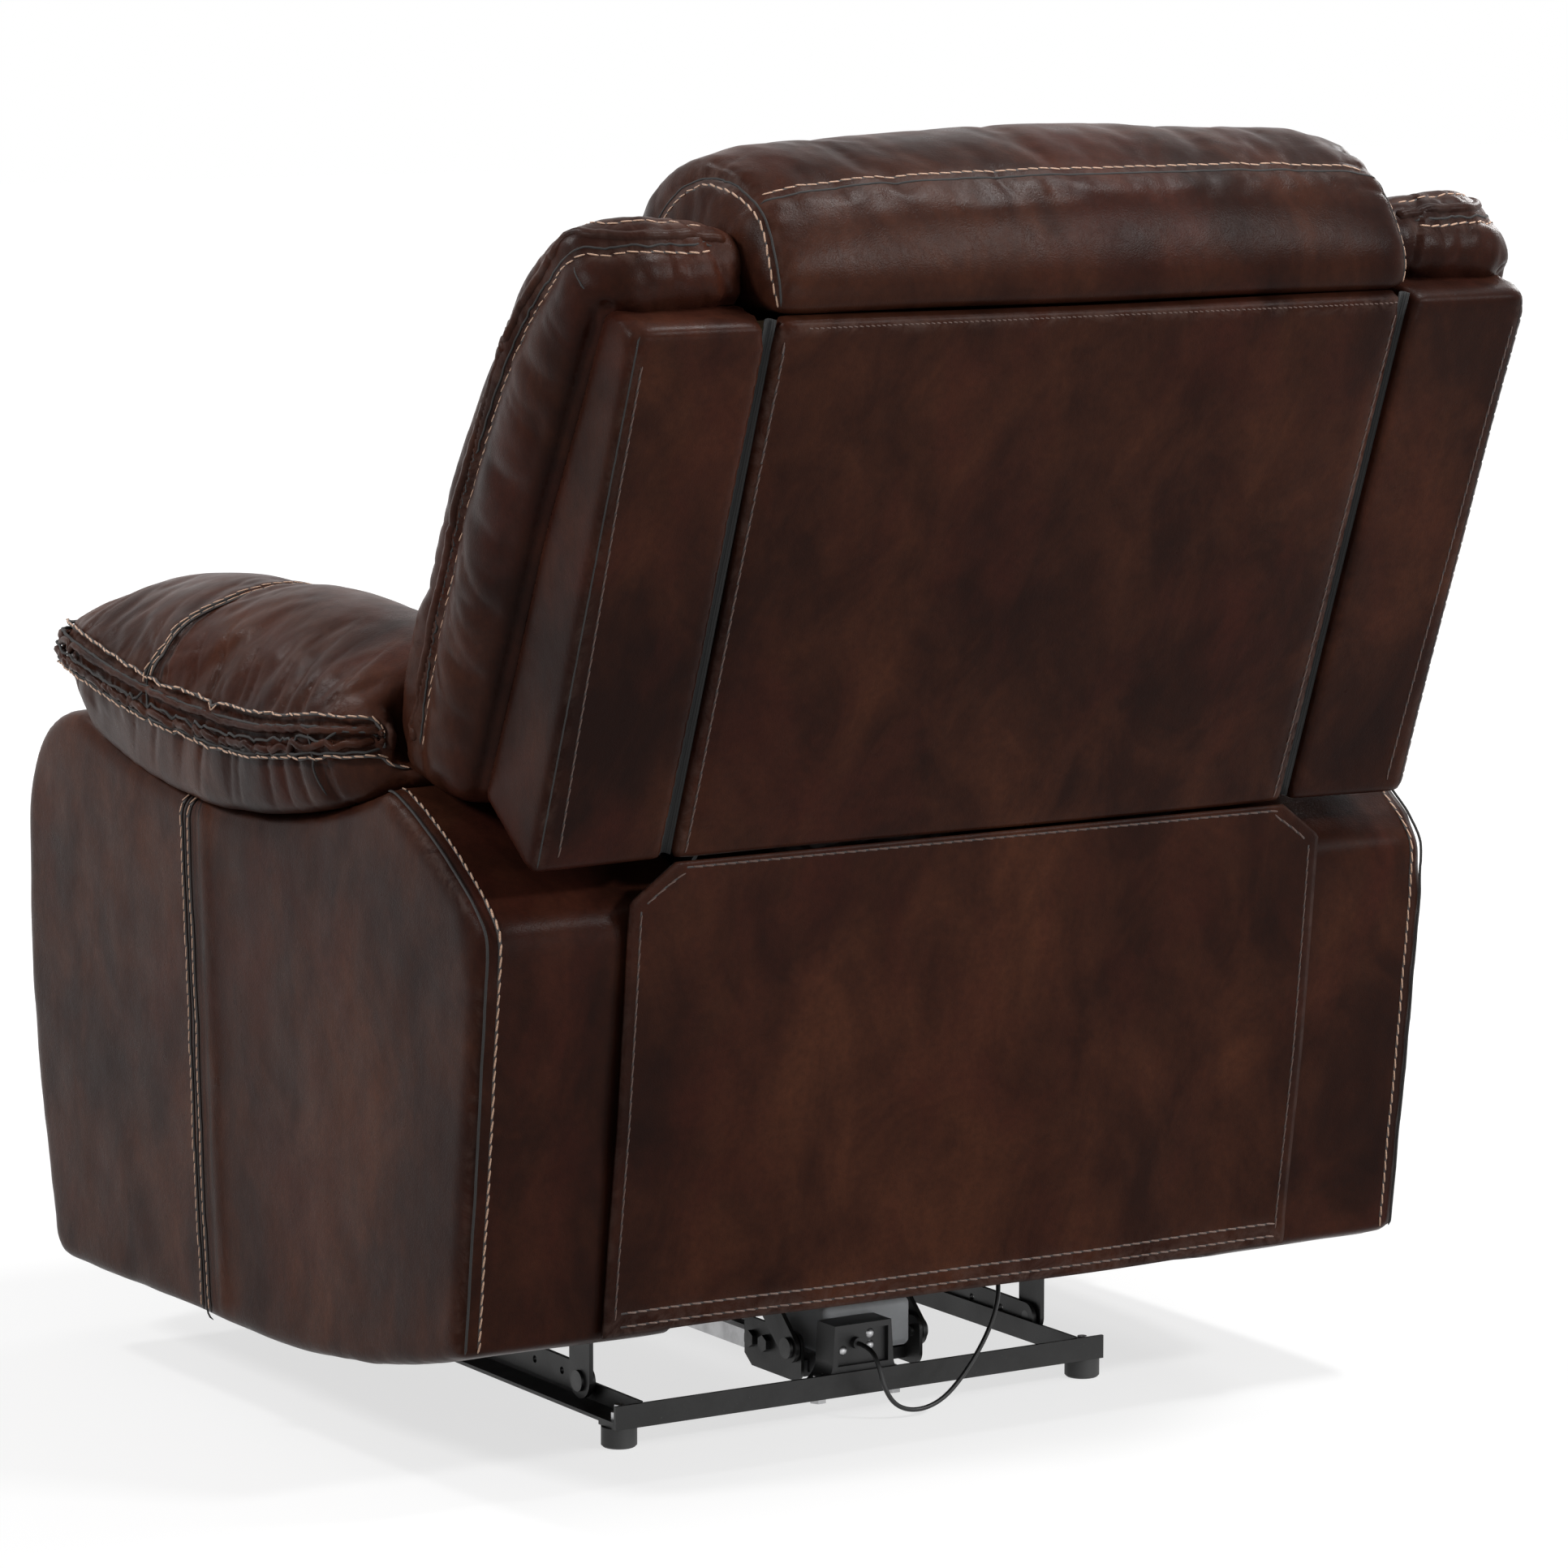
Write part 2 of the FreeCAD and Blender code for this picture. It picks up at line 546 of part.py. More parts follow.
def cord(points, r):
    """Tube of straight runs joined by tangent arcs as large as the runs allow."""
    pts = [V(*p) for p in points]
    edges = []
    here = pts[0]
    radii = []
    for i in range(1, len(pts) - 1):
        into = pts[i] - pts[i - 1]
        out = pts[i + 1] - pts[i]
        turn = into.getAngle(out)
        reach = 0.45 * min(into.Length, out.Length)
        radii.append(reach / math.tan(turn / 2))
        a = pts[i] - V(into).normalize() * reach
        b = pts[i] + V(out).normalize() * reach
        centre_way = (V(out).normalize() - V(into).normalize()).normalize()
        bulge = radii[-1] * (1 / math.cos(turn / 2) - 1)
        mid = pts[i] + centre_way * bulge
        edges.append(Part.LineSegment(here, a).toShape())
        edges.append(Part.Arc(a, mid, b).toShape())
        here = b
    edges.append(Part.LineSegment(here, pts[-1]).toShape())
    path = Part.Wire(edges)
    start = Part.Wire([Part.Circle(pts[0], pts[1] - pts[0], r).toShape()])
    tube = path.makePipeShell([start], True, False)
    length = sum(e.Length for e in edges)
    print("cable radii", [round(v, 1) for v in radii], "length", round(length, 1),
          "volume share", round(tube.Volume / (math.pi * r * r * length), 4))
    return tube


def seat_plate():
    """Left seat side plate: beam, drop leg to pivot B and lug to pivot D."""
    z0, z1 = BEAM_Z
    leg_r = DROP_W / 2
    b, d = PIVOT_B, PIVOT_D
    steps = [
        (-402, z0 + 14),
        ((-398, z0 + 4), (-388, z0)),
        (d[0] - 40, z0),
        (d[0] - 14, d[1] + 3),
        ((d[0], d[1] - 14), (d[0] + 14, d[1] + 3)),
        (d[0] + 40, z0),
        (b[0] - leg_r - 20, z0),
        ((b[0] - leg_r - 5, z0 - 6), (b[0] - leg_r, z0 - 20)),
        (b[0] - leg_r, b[1]),
        ((b[0], b[1] - 15), (b[0] + leg_r, b[1])),
        (b[0] + leg_r, z0 - 20),
        ((b[0] + leg_r + 4, z0 + 10), (b[0] + leg_r + 26, z0 + 34)),
        (b[0] + leg_r + 40, z1),
        (REST_PIVOT[0] + 60, z1),
        (REST_PIVOT[0] + 22, z1 + 30),
        (REST_PIVOT[0] + 18, REST_PIVOT[1]),
        ((REST_PIVOT[0], REST_PIVOT[1] + 13), (REST_PIVOT[0] - 18, REST_PIVOT[1])),
        (-402, z1 - 10),
    ]
    plate = slab(PLATE_X, PLATE_OUT, steps)
    holes = [(b, PIN_R + 0.02), (d, PIN_R + 0.02), (REST_PIVOT, REST_PIN_R + 0.02)]
    return drilled(plate, PLATE_X, PLATE_OUT, holes)


def seat_pins():
    """Pins carried by the seat plates: B bolts, D studs and footrest studs."""
    b = rod_x(PIVOT_B, PIN_R, LINK1_X, PLATE_OUT)
    b = b.fuse(rod_x(PIVOT_B, HEAD_R, PLATE_OUT, PLATE_OUT + HEAD_T))
    d = rod_x(PIVOT_D, PIN_R, LINK2_X - 0.5, PLATE_OUT)
    d = d.fuse(rod_x(PIVOT_D, HEAD_R, LINK2_X - 0.5 - 2, LINK2_X - 0.5))
    d = d.fuse(rod_x(PIVOT_D, HEAD_R, LINK1_X + 1, PLATE_X))
    t0 = plane(1) - 0.5
    t = rod_x(REST_PIVOT, REST_PIN_R, t0, PLATE_OUT)
    t = t.fuse(rod_x(REST_PIVOT, 8, t0 - 1.5, t0))
    t = t.fuse(rod_x(REST_PIVOT, 9, REST_OUT + 0.5, PLATE_X))
    made = []
    for pin in (b, d, t):
        made += [pin, mirrored(pin)]
    return made


def plane(i):
    """Inner x of footrest plate layer i: 0 swing plate, 1 bars a and d, 2 bars b and c."""
    return REST_OUT - BAR_T - i * (BAR_T + PLANE_GAP)


def rest_nodes():
    """Folded footrest pivots: top row and bottom row, rear to front."""
    w = BAR_L * math.sin(math.radians(BAR_CLOSED))
    h = BAR_L * math.cos(math.radians(BAR_CLOSED))
    y, z = REST_PIVOT
    top = [(y - i * w, z) for i in range(3)]
    low = [(y - i * w, z - h) for i in range(3)]
    return top, low


def middle(p, q):
    return ((p[0] + q[0]) / 2, (p[1] + q[1]) / 2)


def pin_between(p, r, x0, x1, head):
    """Rivet shank with a flat head on its inner end."""
    return rod_x(p, r, x0, x1).fuse(rod_x(p, r + 3, x0 - head, x0))


def swing_plate():
    """Footrest swing plate with the slot that guides the rear bottom pin."""
    top, low = rest_nodes()
    x0 = plane(0)
    h_open = BAR_L * math.cos(math.radians(BAR_OPEN))
    y, z = REST_PIVOT
    plate = bar((y, z), (y, low[0][1]), 30, x0, BAR_T, [((y, z), REST_PIN_R + RUN)])
    slot = bar((y, z - h_open + 3), (y, low[0][1] - 3), 2 * REST_PIN_R + 0.8, x0 - 1, BAR_T + 2)
    return plate.cut(slot)


def bar_a():
    top, low = rest_nodes()
    x = plane(1)
    m = middle(top[0], low[1])
    hole = [(top[0], REST_PIN_R + RUN)]
    solid = bar(top[0], low[1], BAR_W, x, BAR_T, hole)
    x2 = plane(2)
    for p in (m, low[1]):
        solid = solid.fuse(pin_between(p, REST_PIN_R, x2 - 0.4, x, 1.5))
    return solid.removeSplitter()


def bar_b():
    top, low = rest_nodes()
    x = plane(2)
    m = middle(low[0], top[1])
    solid = bar(low[0], top[1], BAR_W, x, BAR_T, [(m, REST_PIN_R + RUN)])
    solid = solid.fuse(rod_x(low[0], REST_PIN_R, x + BAR_T, plane(0) + BAR_T))
    solid = solid.fuse(rod_x(top[1], REST_PIN_R, x + BAR_T, plane(1) + BAR_T))
    return solid.removeSplitter()


def bar_c():
    top, low = rest_nodes()
    x = plane(2)
    m = middle(low[1], top[2])
    holes = [(low[1], REST_PIN_R + RUN), (top[2], REST_PIN_R + RUN)]
    solid = bar(low[1], top[2], BAR_W, x, BAR_T, holes)
    return solid.fuse(rod_x(m, REST_PIN_R, x + BAR_T, plane(1) + BAR_T)).removeSplitter()


def bar_d():
    top, low = rest_nodes()
    x = plane(1)
    m = middle(top[1], low[2])
    u = ((low[2][0] - top[1][0]) / BAR_L, (low[2][1] - top[1][1]) / BAR_L)
    end = (m[0] + 16 * u[0], m[1] + 16 * u[1])
    holes = [(top[1], REST_PIN_R + RUN), (m, REST_PIN_R + 0.3)]
    return bar(top[1], end, BAR_W, x, BAR_T, holes)


def rest_bracket():
    """Angle on the back of the footrest board with its pivot stud."""
    top, low = rest_nodes()
    p = top[2]
    x = plane(3)
    cheek = slab(x, x + BAR_T, [
        (BOARD_BACK, p[1] - 60), (BOARD_BACK, p[1] + 60), (p[0] + 2, p[1] + 11),
        ((p[0] + 11, p[1]), (p[0] + 2, p[1] - 11)),
    ])
    foot = box(x - 22, x, BOARD_BACK, BOARD_BACK + BAR_T, p[1] - 60, p[1] + 60)
    stud = rod_x(p, REST_PIN_R, x + BAR_T, plane(2) + BAR_T)
    return cheek.fuse(foot).fuse(stud).removeSplitter()


def footrest_board():
    front = BOARD_BACK - BOARD_T
    solid = box(-BOARD_HALF + 6, BOARD_HALF - 6, front, BOARD_BACK, BOARD_LOW + 6, BOARD_TOP - 6)
    edges = [e for e in solid.Edges if abs(e.Length - BOARD_T) < 0.01]
    return solid.makeFillet(14, edges)


def footrest_pad():
    """Crowned pad: side-view section lofted across the width with drawn-in ends."""
    back = BOARD_BACK - BOARD_T - SOFT_GAP
    wires = []
    for x in across(BOARD_HALF):
        crown = 1 - 0.55 * abs(x / BOARD_HALF) ** 6
        front = back + (FRONT_FACE - back) * crown
        inset = 10 * (1 - crown)
        lo, hi = BOARD_LOW + inset, BOARD_TOP - inset
        r = (back - front) * 0.8
        mid = (lo + hi) / 2
        wires.append(profile(x, [
            (back, lo), (back, hi),
            ((front + r * 0.3, hi - r * 0.3 + 4), (front + 1.5, hi - r - 4)),
            ((front, mid), (front + 1.5, lo + r + 4)),
            ((front + r * 0.3, lo + r * 0.3 - 4), (back, lo)),
        ]))
    return Part.makeLoft(wires, True, True)


def seat_rail():
    """Left timber rail beside the seat plate, dropped clear of the footrest."""
    solid = slab(PLATE_OUT, ARM_IN - SEAT_GAP, [
        (-440, SEAT_RAIL_Z[0] + 40), (-440, SEAT_RAIL_Z[1]), (SEAT_REAR, SEAT_RAIL_Z[1]),
        (SEAT_REAR, SEAT_RAIL_Z[0]), (-400, SEAT_RAIL_Z[0]),
    ])
    return solid


def cross_seat_rails():
    """Front rail between the timber rails, rear rail between the hinge plates."""
    half = PLATE_OUT - SEAT_GAP
    front = box(-half, half, -330, -305, BEAM_Z[1] + 30, SEAT_RAIL_Z[1])
    half = hinge_x() - SEAT_GAP
    rear = box(-half, half, 200, SEAT_REAR, 220, SEAT_RAIL_Z[1])
    return [front, rear]


def sinuous_spring(x):
    """Zigzag seat spring of straight bars joined by half-round bends."""
    z = SEAT_RAIL_Z[1] + SPRING_R + 0.3
    y = -318.0
    end = 214.0
    bends = SPRING_BENDS
    pitch = (end - y) / (bends + 1)
    r = pitch / 2
    reach = 16.0
    edges = [Part.makeLine(V(x, y, z), V(x + reach, y, z))]
    side = 1
    for i in range(bends):
        here = V(x + side * reach, y + i * pitch, z)
        mid = V(x + side * (reach + r), y + i * pitch + r, z)
        there = V(x + side * reach, y + (i + 1) * pitch, z)
        edges.append(Part.Arc(here, mid, there).toShape())
        side = -side
        if i < bends - 1:
            edges.append(Part.makeLine(there, V(x + side * reach, there.y, z)))
    last = V(x - side * reach, y + bends * pitch, z)
    edges.append(Part.makeLine(last, V(x, last.y, z)))
    path = Part.Wire(edges)
    ring = []
    for i in range(WIRE_SIDES + 1):
        a = 2 * math.pi * i / WIRE_SIDES
        ring.append(V(x, y + SPRING_R * math.cos(a), z + SPRING_R * math.sin(a)))
    return path.makePipe(Part.Face(Part.makePolygon(ring)))


def lens(shares, outline_at, start=0.0, span=1.0):
    """Ruled loft of side-view sections at x = start + span * share."""
    wires = [profile(start + span * s, outline_at(s)) for s in shares]
    return Part.makeLoft(wires, True, True)


def across(half):
    """Section planes of a cushion, closer together where its sides draw in."""
    return [half * s for s in CUSHION_SHARES]


def seat_cushion():
    """Seat cushion: crowned top, rolled nose over the footrest, drawn-in sides."""
    low = SEAT_RAIL_Z[1] + 2 * SPRING_R + 0.8

    def outline(x):
        edge = abs(x) / SEAT_HALF
        drop = 16 * edge ** 3
        tuck = 10 * edge ** 3
        top = SEAT_TOP - drop
        nose = -503 + tuck
        return [
            (58, low + 2), (58, top - 26),
            ((40, top - 6), (10, top - 4)),
            ((-200, top), (-430, top - 8)),
            ((-486, top - 26), (nose, top - 56)),
            ((nose + 12, top - 82), (-462, 412 + tuck)),
            (-440, 392), (-345, low), (-300, low),
        ]
    return lens(across(SEAT_HALF), outline)


def arm_outline(lift=0.0):
    """Side view of an arm, raised by lift; the last arc ends at the start."""
    steps = [
        (-408, 76), (-13, 78),
        ((150, 93), (302, 129)),
        (344, 473),
        ((268, 528), (188, 566)),
        ((-31, 521), (-332, 556)),
        ((-447, 535), (-478, 458)),
        ((-471, 290), (-438, 108)),
        ((-428, 84), (-408, 76)),
    ]
    return shifted(steps, 0, lift)


def arm_block():
    """Left arm: upholstered box, closed underneath, with rounded outer edges."""
    solid = slab_closed(ARM_IN, ARM_OUT, arm_outline())
    edges = [e for e in solid.Edges if e.BoundBox.XMin > ARM_OUT - 0.1]
    return solid.makeFillet(ARM_EDGE_R, edges)


def slab_closed(x0, x1, steps):
    """Like slab, for an outline whose last arc already ends at its start."""
    here = steps[0]
    edges = []
    for step in steps[1:]:
        if isinstance(step[0], tuple):
            edges.append(Part.Arc(at(x0, here), at(x0, step[0]), at(x0, step[1])).toShape())
            here = step[1]
        else:
            edges.append(Part.makeLine(at(x0, here), at(x0, step)))
            here = step
    return Part.Face(Part.Wire(edges)).extrude(V(x1 - x0, 0, 0))


def pad_section(y, half, bottom, low, high, top):
    """Pillow section: seam band at the sides, crowned top, rounded underside."""
    x0, x1 = PAD_X - half, PAD_X + half
    b0, b1 = x0 + PAD_ROLL, x1 - PAD_ROLL
    side = (low + bottom) / 2
    bulge = PAD_ROLL * 0.32
    return Part.Wire([
        Part.makeLine(V(x1, y, low), V(x1, y, high)),
        Part.Arc(V(x1, y, high), V(PAD_X, y, top), V(x0, y, high)).toShape(),
        Part.makeLine(V(x0, y, high), V(x0, y, low)),
        Part.Arc(V(x0, y, low), V(x0 + bulge, y, side), V(b0, y, bottom)).toShape(),
        Part.makeLine(V(b0, y, bottom), V(b1, y, bottom)),
        Part.Arc(V(b1, y, bottom), V(x1 - bulge, y, side), V(x1, y, low)).toShape(),
    ])


def arm_pad():
    """Left arm pad: boxed pillow lofted from front to rear, seated on the arm."""
    pad = Part.makeLoft([pad_section(*row) for row in PAD_SECTIONS], True, True)
    arm = slab_closed(ARM_IN - 60, ARM_OUT + 60, arm_outline(SOFT_GAP))
    side = shifted(bolster_outline(0.5), -SOFT_GAP, -SOFT_GAP)
    bolster_room = slab(ARM_IN - 60, BOLSTER_OUT + SOFT_GAP, side)
    return pad.cut(arm).cut(bolster_room)


def shifted(steps, dy, dz):
    """The same side-view steps moved by dy and dz."""
    out = []
    for step in steps:
        if isinstance(step[0], tuple):
            out.append(tuple((p[0] + dy, p[1] + dz) for p in step))
        else:
            out.append((step[0] + dy, step[1] + dz))
    return out


def back_line(share, forward=0.0):
    """Point on the back's rear face, moved forward square to it."""
    dy = REAR_TOP[0] - REAR_LOW[0]
    dz = REAR_TOP[1] - REAR_LOW[1]
    length = math.hypot(dy, dz)
    y = REAR_LOW[0] + share * dy - forward * dz / length
    z = REAR_LOW[1] + share * dz + forward * dy / length
    return (y, z)


def wing():
    """Left wing: a tapered upholstered box behind the bolster."""
    steps = [
        WING_LOW, WING_TOP, *[back_line(*p) for p in reversed(WING_FRONT)],
    ]
    solid = slab(WING_IN, WING_OUT, steps)
    edges = [e for e in solid.Edges if e.BoundBox.XMin > WING_OUT - 0.1]
    edges += [e for e in solid.Edges if e.BoundBox.XLength > 100 and e.BoundBox.YMin > 340]
    return solid.makeFillet(7, edges)


def back_panel():
    """Upholstered rear panel between the wings."""
    steps = [back_line(0), back_line(1), back_line(1, PANEL_T), back_line(0, PANEL_T)]
    solid = slab(-PANEL_HALF, PANEL_HALF, steps)
    edges = [e for e in solid.Edges
             if e.BoundBox.XLength < 1 and e.BoundBox.ZLength > 300
             and e.BoundBox.YMax > REAR_TOP[0] - 0.1]
    return solid.makeFillet(5, edges)


def back_posts():
    """Timber posts of the back frame, in front of the rails."""
    f0, f1 = POST_F
    steps = [back_line(-0.04, f0), back_line(0.87, f0), back_line(0.87, f1), back_line(-0.04, f1)]
    return both(slab(POST_X[0], POST_X[1], steps))


def back_rails():
    """Three timber rails between the wings, behind the posts."""
    made = []
    half = WING_IN - 0.3
    for share in (0.02, 0.47, 0.88):
        steps = [back_line(share, BACK_RAIL_F[0]), back_line(share + 0.08, BACK_RAIL_F[0]),
                 back_line(share + 0.08, BACK_RAIL_F[1]), back_line(share, BACK_RAIL_F[1])]
        made.append(slab(-half, half, steps))
    return made


def hinge_x():
    """Inner face of the left seat-side recline plate."""
    return POST_X[0] - SEAT_GAP - LINK_T - PLANE_GAP - LINK_T


def hinge_plates():
    """Seat-side recline plates, standing on the timber rails."""
    y, z = HINGE
    steps = [
        (y - 34, SEAT_RAIL_Z[1] - 60), (y - 16, z), ((y, z + 16), (y + 16, z)),
        (y + 19, SEAT_RAIL_Z[1] - 60),
    ]
    inner = POST_X[0] - 0.3 - LINK_T
    plate = slab(inner - PLANE_GAP - LINK_T, inner - PLANE_GAP, steps)
    pin = rod_x(HINGE, PIN_R, inner - PLANE_GAP - LINK_T, inner + LINK_T + 0.5)
    head = rod_x(HINGE, HEAD_R, inner + LINK_T + 0.5, inner + LINK_T + 0.5 + HEAD_T)
    return both(plate.fuse(pin).fuse(head).removeSplitter())


def back_brackets():
    """Back-side recline brackets from the hinge pins to the posts."""
    y, z = HINGE
    x = POST_X[0] - 0.3 - LINK_T
    steps = [
        (y - 14, z + 4), ((y, z - 16), (y + 14, z - 6)),
        back_line(-0.03, BACK_RAIL_F[1] + 10), back_line(0.16, BACK_RAIL_F[1] + 10),
        back_line(0.16, BACK_RAIL_F[1] + 44),
    ]
    plate = slab(x, x + LINK_T, steps)
    plate = drilled(plate, x, x + LINK_T, [(HINGE, PIN_R + RUN)])
    return both(plate)


def bolster_outline(side):
    """Bolster section; side runs from 0 at its inner edge to 1 at its outer edge."""
    d = BOLSTER_DRAW * (2 * side - 1) ** 4

    def on(place, dy=0.0, dz=0.0):
        y, z = back_line(*place)
        return (y + dy, z + dz)

    low, mid, top = [on(p, -SOFT_GAP) for p in WING_FRONT]
    crown, rear, ridge = BOLSTER_TOP
    brow, chest, waist, lap, heel = BOLSTER_FRONT
    return [
        low, mid, (top[0], top[1] + SOFT_GAP),
        (WING_TOP[0] - 1, WING_TOP[1] + SOFT_GAP),
        (on(crown), on(rear, -d, -d)),
        (on(ridge, d * 0.3, -d), on(brow, d)),
        (on(chest, d), on(waist, d)),
        (on(lap, d), on(heel, d)),
        (on(BOLSTER_FOOT[0], d, d), on(BOLSTER_FOOT[1])),
    ]


def bolster():
    """Left back bolster: puffed side cushion wrapped over the wing's front."""
    sides = [(1 + s) / 2 for s in CUSHION_SHARES]
    span = BOLSTER_OUT - WING_IN
    body = lens(sides, bolster_outline, WING_IN, span)
    lobe = slab(ARM_IN, WING_IN + 20, [
        (250, 586), (294, 612), (330, 690), ((318, 702), (300, 704)),
        (262, 704), ((246, 660), (244, 612)),
    ])
    return body.fuse(lobe).removeSplitter()


def rear_y(z):
    """Y of the back's rear face at a height."""
    share = (z - REAR_LOW[1]) / (REAR_TOP[1] - REAR_LOW[1])
    return REAR_LOW[0] + share * (REAR_TOP[0] - REAR_LOW[0])


def cushion_rear(z):
    """Rear of the back cushions: the soft clearance in front of the posts."""
    slope = (REAR_TOP[0] - REAR_LOW[0]) / (REAR_TOP[1] - REAR_LOW[1])
    return rear_y(z) - POST_F[1] * math.hypot(1, slope) - SOFT_GAP


def back_cushion(half, z0, z1, depth0, depth1, under):
    """Horizontal back pad: depths run forward from the rear face at z0 and z1."""
    def outline(x):
        edge = abs(x) / half
        tuck = 18 * edge ** 4
        mid_z = (z0 + z1) / 2
        crown = 14 - tuck
        y0 = rear_y(z0) - depth0 + tuck
        y1 = rear_y(z1) - depth1 + tuck
        ym = rear_y(mid_z) - (depth0 + depth1) / 2 - crown
        return list(under) + [
            (y0 + 34, z0), ((y0 + 9, z0 + 7), (y0 + 1, z0 + 28)),
            ((ym, mid_z), (y1 + 1, z1 - 28)),
            ((y1 + 9, z1 - 7), (y1 + 34, z1)),
            (cushion_rear(z1), z1),
        ]
    return lens(across(half), outline)


def lumbar_cushion():
    """Lower back pad, stepped behind to clear the recline hinge plates."""
    step_z = HINGE[1] + 150
    under = [(cushion_rear(step_z), step_z), (HINGE[0] - 50, HINGE[1] + 36),
             (HINGE[0] - 50, LUMBAR_Z[0])]
    return back_cushion(ARM_IN - 5, *LUMBAR_Z, LUMBAR_DEPTH, LUMBAR_DEPTH, under)


def upper_cushion():
    under = [(cushion_rear(UPPER_Z[0]), UPPER_Z[0])]
    return back_cushion(WING_IN - 4, *UPPER_Z, *UPPER_DEPTHS, under)


def headrest():
    """Headrest roll over the top of the back, with rounded ends."""
    rear = back_line(1)
    lip = (rear[0] - SEAT_GAP, rear[1] + 2 * SOFT_GAP)
    front = back_line(1, PANEL_T)
    step = (front[0] - 1, front[1] + 2 * SOFT_GAP)
    y, z = REAR_TOP
    nose = y - HEADREST_DEPTH

    def up(share):
        return z + share * HEADREST_RISE

    def outline(x):
        d = HEADREST_RISE * 0.158 * (abs(x) / HEADREST_HALF) ** 3
        return [
            lip, ((y + 0.5, up(0.23)), (y - 6.5 - d * 0.2, up(0.417) - d * 0.3)),
            ((y - 20.5 - d * 0.4, up(0.64) - d * 0.6), (y - 50.5 - d * 0.3, up(0.79) - d * 0.7)),
            ((y - 107.5, up(0.993) - d * 1.4), (nose + 78 + d * 0.4, up(0.835) - d)),
            ((nose + 16 + d, up(0.46) - d * 0.5), (nose + d, up(0.03))),
            ((nose + 8 + d * 0.6, up(-0.22)), (nose + 38, up(-0.295))),
            (y - 74.5, z - 10), (y - 72.5, z + 10), step,
        ]
    return lens(across(HEADREST_HALF), outline)


def rear_flap():
    """Leather skirt that hangs from the back panel's lower edge to the hem."""
    top_z = REAR_LOW[1] - SEAT_GAP
    y0 = REAR_LOW[0] - 1.0
    top = [(-PANEL_HALF, top_z), (PANEL_HALF, top_z)]
    notch = FLAP_HALF - 1
    outline = [
        top[0], top[1], (notch, FLAP_NOTCH_Z), (FLAP_HALF, FLAP_LOW), (-FLAP_HALF, FLAP_LOW),
        (-notch, FLAP_NOTCH_Z),
    ]
    flat = []
    for x, z in outline:
        flat.append(V(x, 0, z))
    flat.append(flat[0])
    sheet = Part.Face(Part.makePolygon(flat)).extrude(V(0, 800, 0))
    front = [(y0, top_z), *FLAP_HANG]
    rear = [(y + FLAP_T, z) for y, z in reversed(front)]
    hang = slab(-FLAP_HALF, FLAP_HALF, front + rear)
    return hang.common(sheet)


def switch_plate():
    """Switch bezel on the outer face of the right arm."""
    x = -ARM_OUT
    plate = box(x - 3, x, BUTTON_Y - 24, BUTTON_Y + 24, BUTTON_Z - 32, BUTTON_Z + 32)
    plate = plate.makeFillet(6, [e for e in plate.Edges if abs(e.Length - 3) < 0.01])
    for z in button_rows():
        plate = plate.cut(box(x - 4, x + 1, BUTTON_Y - 14.3, BUTTON_Y + 14.3, z - 9.3, z + 9.3))
    return plate


def button_rows():
    return (BUTTON_Z - BUTTON_PITCH / 2, BUTTON_Z + BUTTON_PITCH / 2)


def button(z):
    """Push button standing proud of the bezel by more than its travel."""
    x = -ARM_OUT
    cap = box(x - 3 - BUTTON_TRAVEL - 1, x - 0.0, BUTTON_Y - 14, BUTTON_Y + 14, z - 9, z + 9)
    return cap.makeFillet(2, [e for e in cap.Edges if e.BoundBox.XMax < x - 4])


def arm_with_switch_pocket(arm):
    """Right arm: mirrored left arm with the pocket behind the buttons."""
    x = -ARM_OUT
    pocket = box(x - 1, x + 8, BUTTON_Y - 17, BUTTON_Y + 17, BUTTON_Z - 24, BUTTON_Z + 24)
    return mirrored(arm).cut(pocket)


def build_base():
    rail = side_rail()
    save("base_rail_left", rail)
    save("base_rail_right", mirrored(rail))
    save("base_rail_rear", cross_rail(REAR_Y, -1))
    save("base_rail_front", cross_rail(FRONT_Y, 1))
    feet = [(x, y) for x in (-FOOT_X, FOOT_X) for y in foot_rows()]
    save("glide_feet", *[glide(x, y) for x, y in feet])
    save("glide_studs", *[glide_stud(x, y) for x, y in feet])
    save("base_pivot_pins", *base_pins())
    save("actuator_bracket", actuator_bracket())
    save("bracket_screws", *bracket_screws())
    save("rail_bolts", *rail_bolts())
    save("motor_housing", motor_housing())
    save("drive_track", drive_track())
    save("lead_screw", lead_screw())
    save("track_bracket", track_bracket())
    save("control_box", control_box())
    save("motor_cable", cord(CABLE_POINTS, CABLE_R))


def build_lift():
    save("slider_block", slider_block())
    save("yoke_plates", yoke_plate(YOKE_LEFT), yoke_plate(YOKE_RIGHT - YOKE_T))
    save("yoke_bolts", *yoke_bolts())
    save("drive_arms", *[drive_arm(x0) for x0, side in arm_planes()])
    link = lift_link()
    save("lift_link_left", link)
    save("lift_link_right", mirrored(link))
    save("torque_tube", torque_tube())
    front = bar(PIVOT_C, PIVOT_D, FRONT_LINK_W, LINK2_X, LINK_T,
                [(PIVOT_C, PIN_R + RUN), (PIVOT_D, PIN_R + OPEN_D)])
    save("front_links", front, mirrored(front))


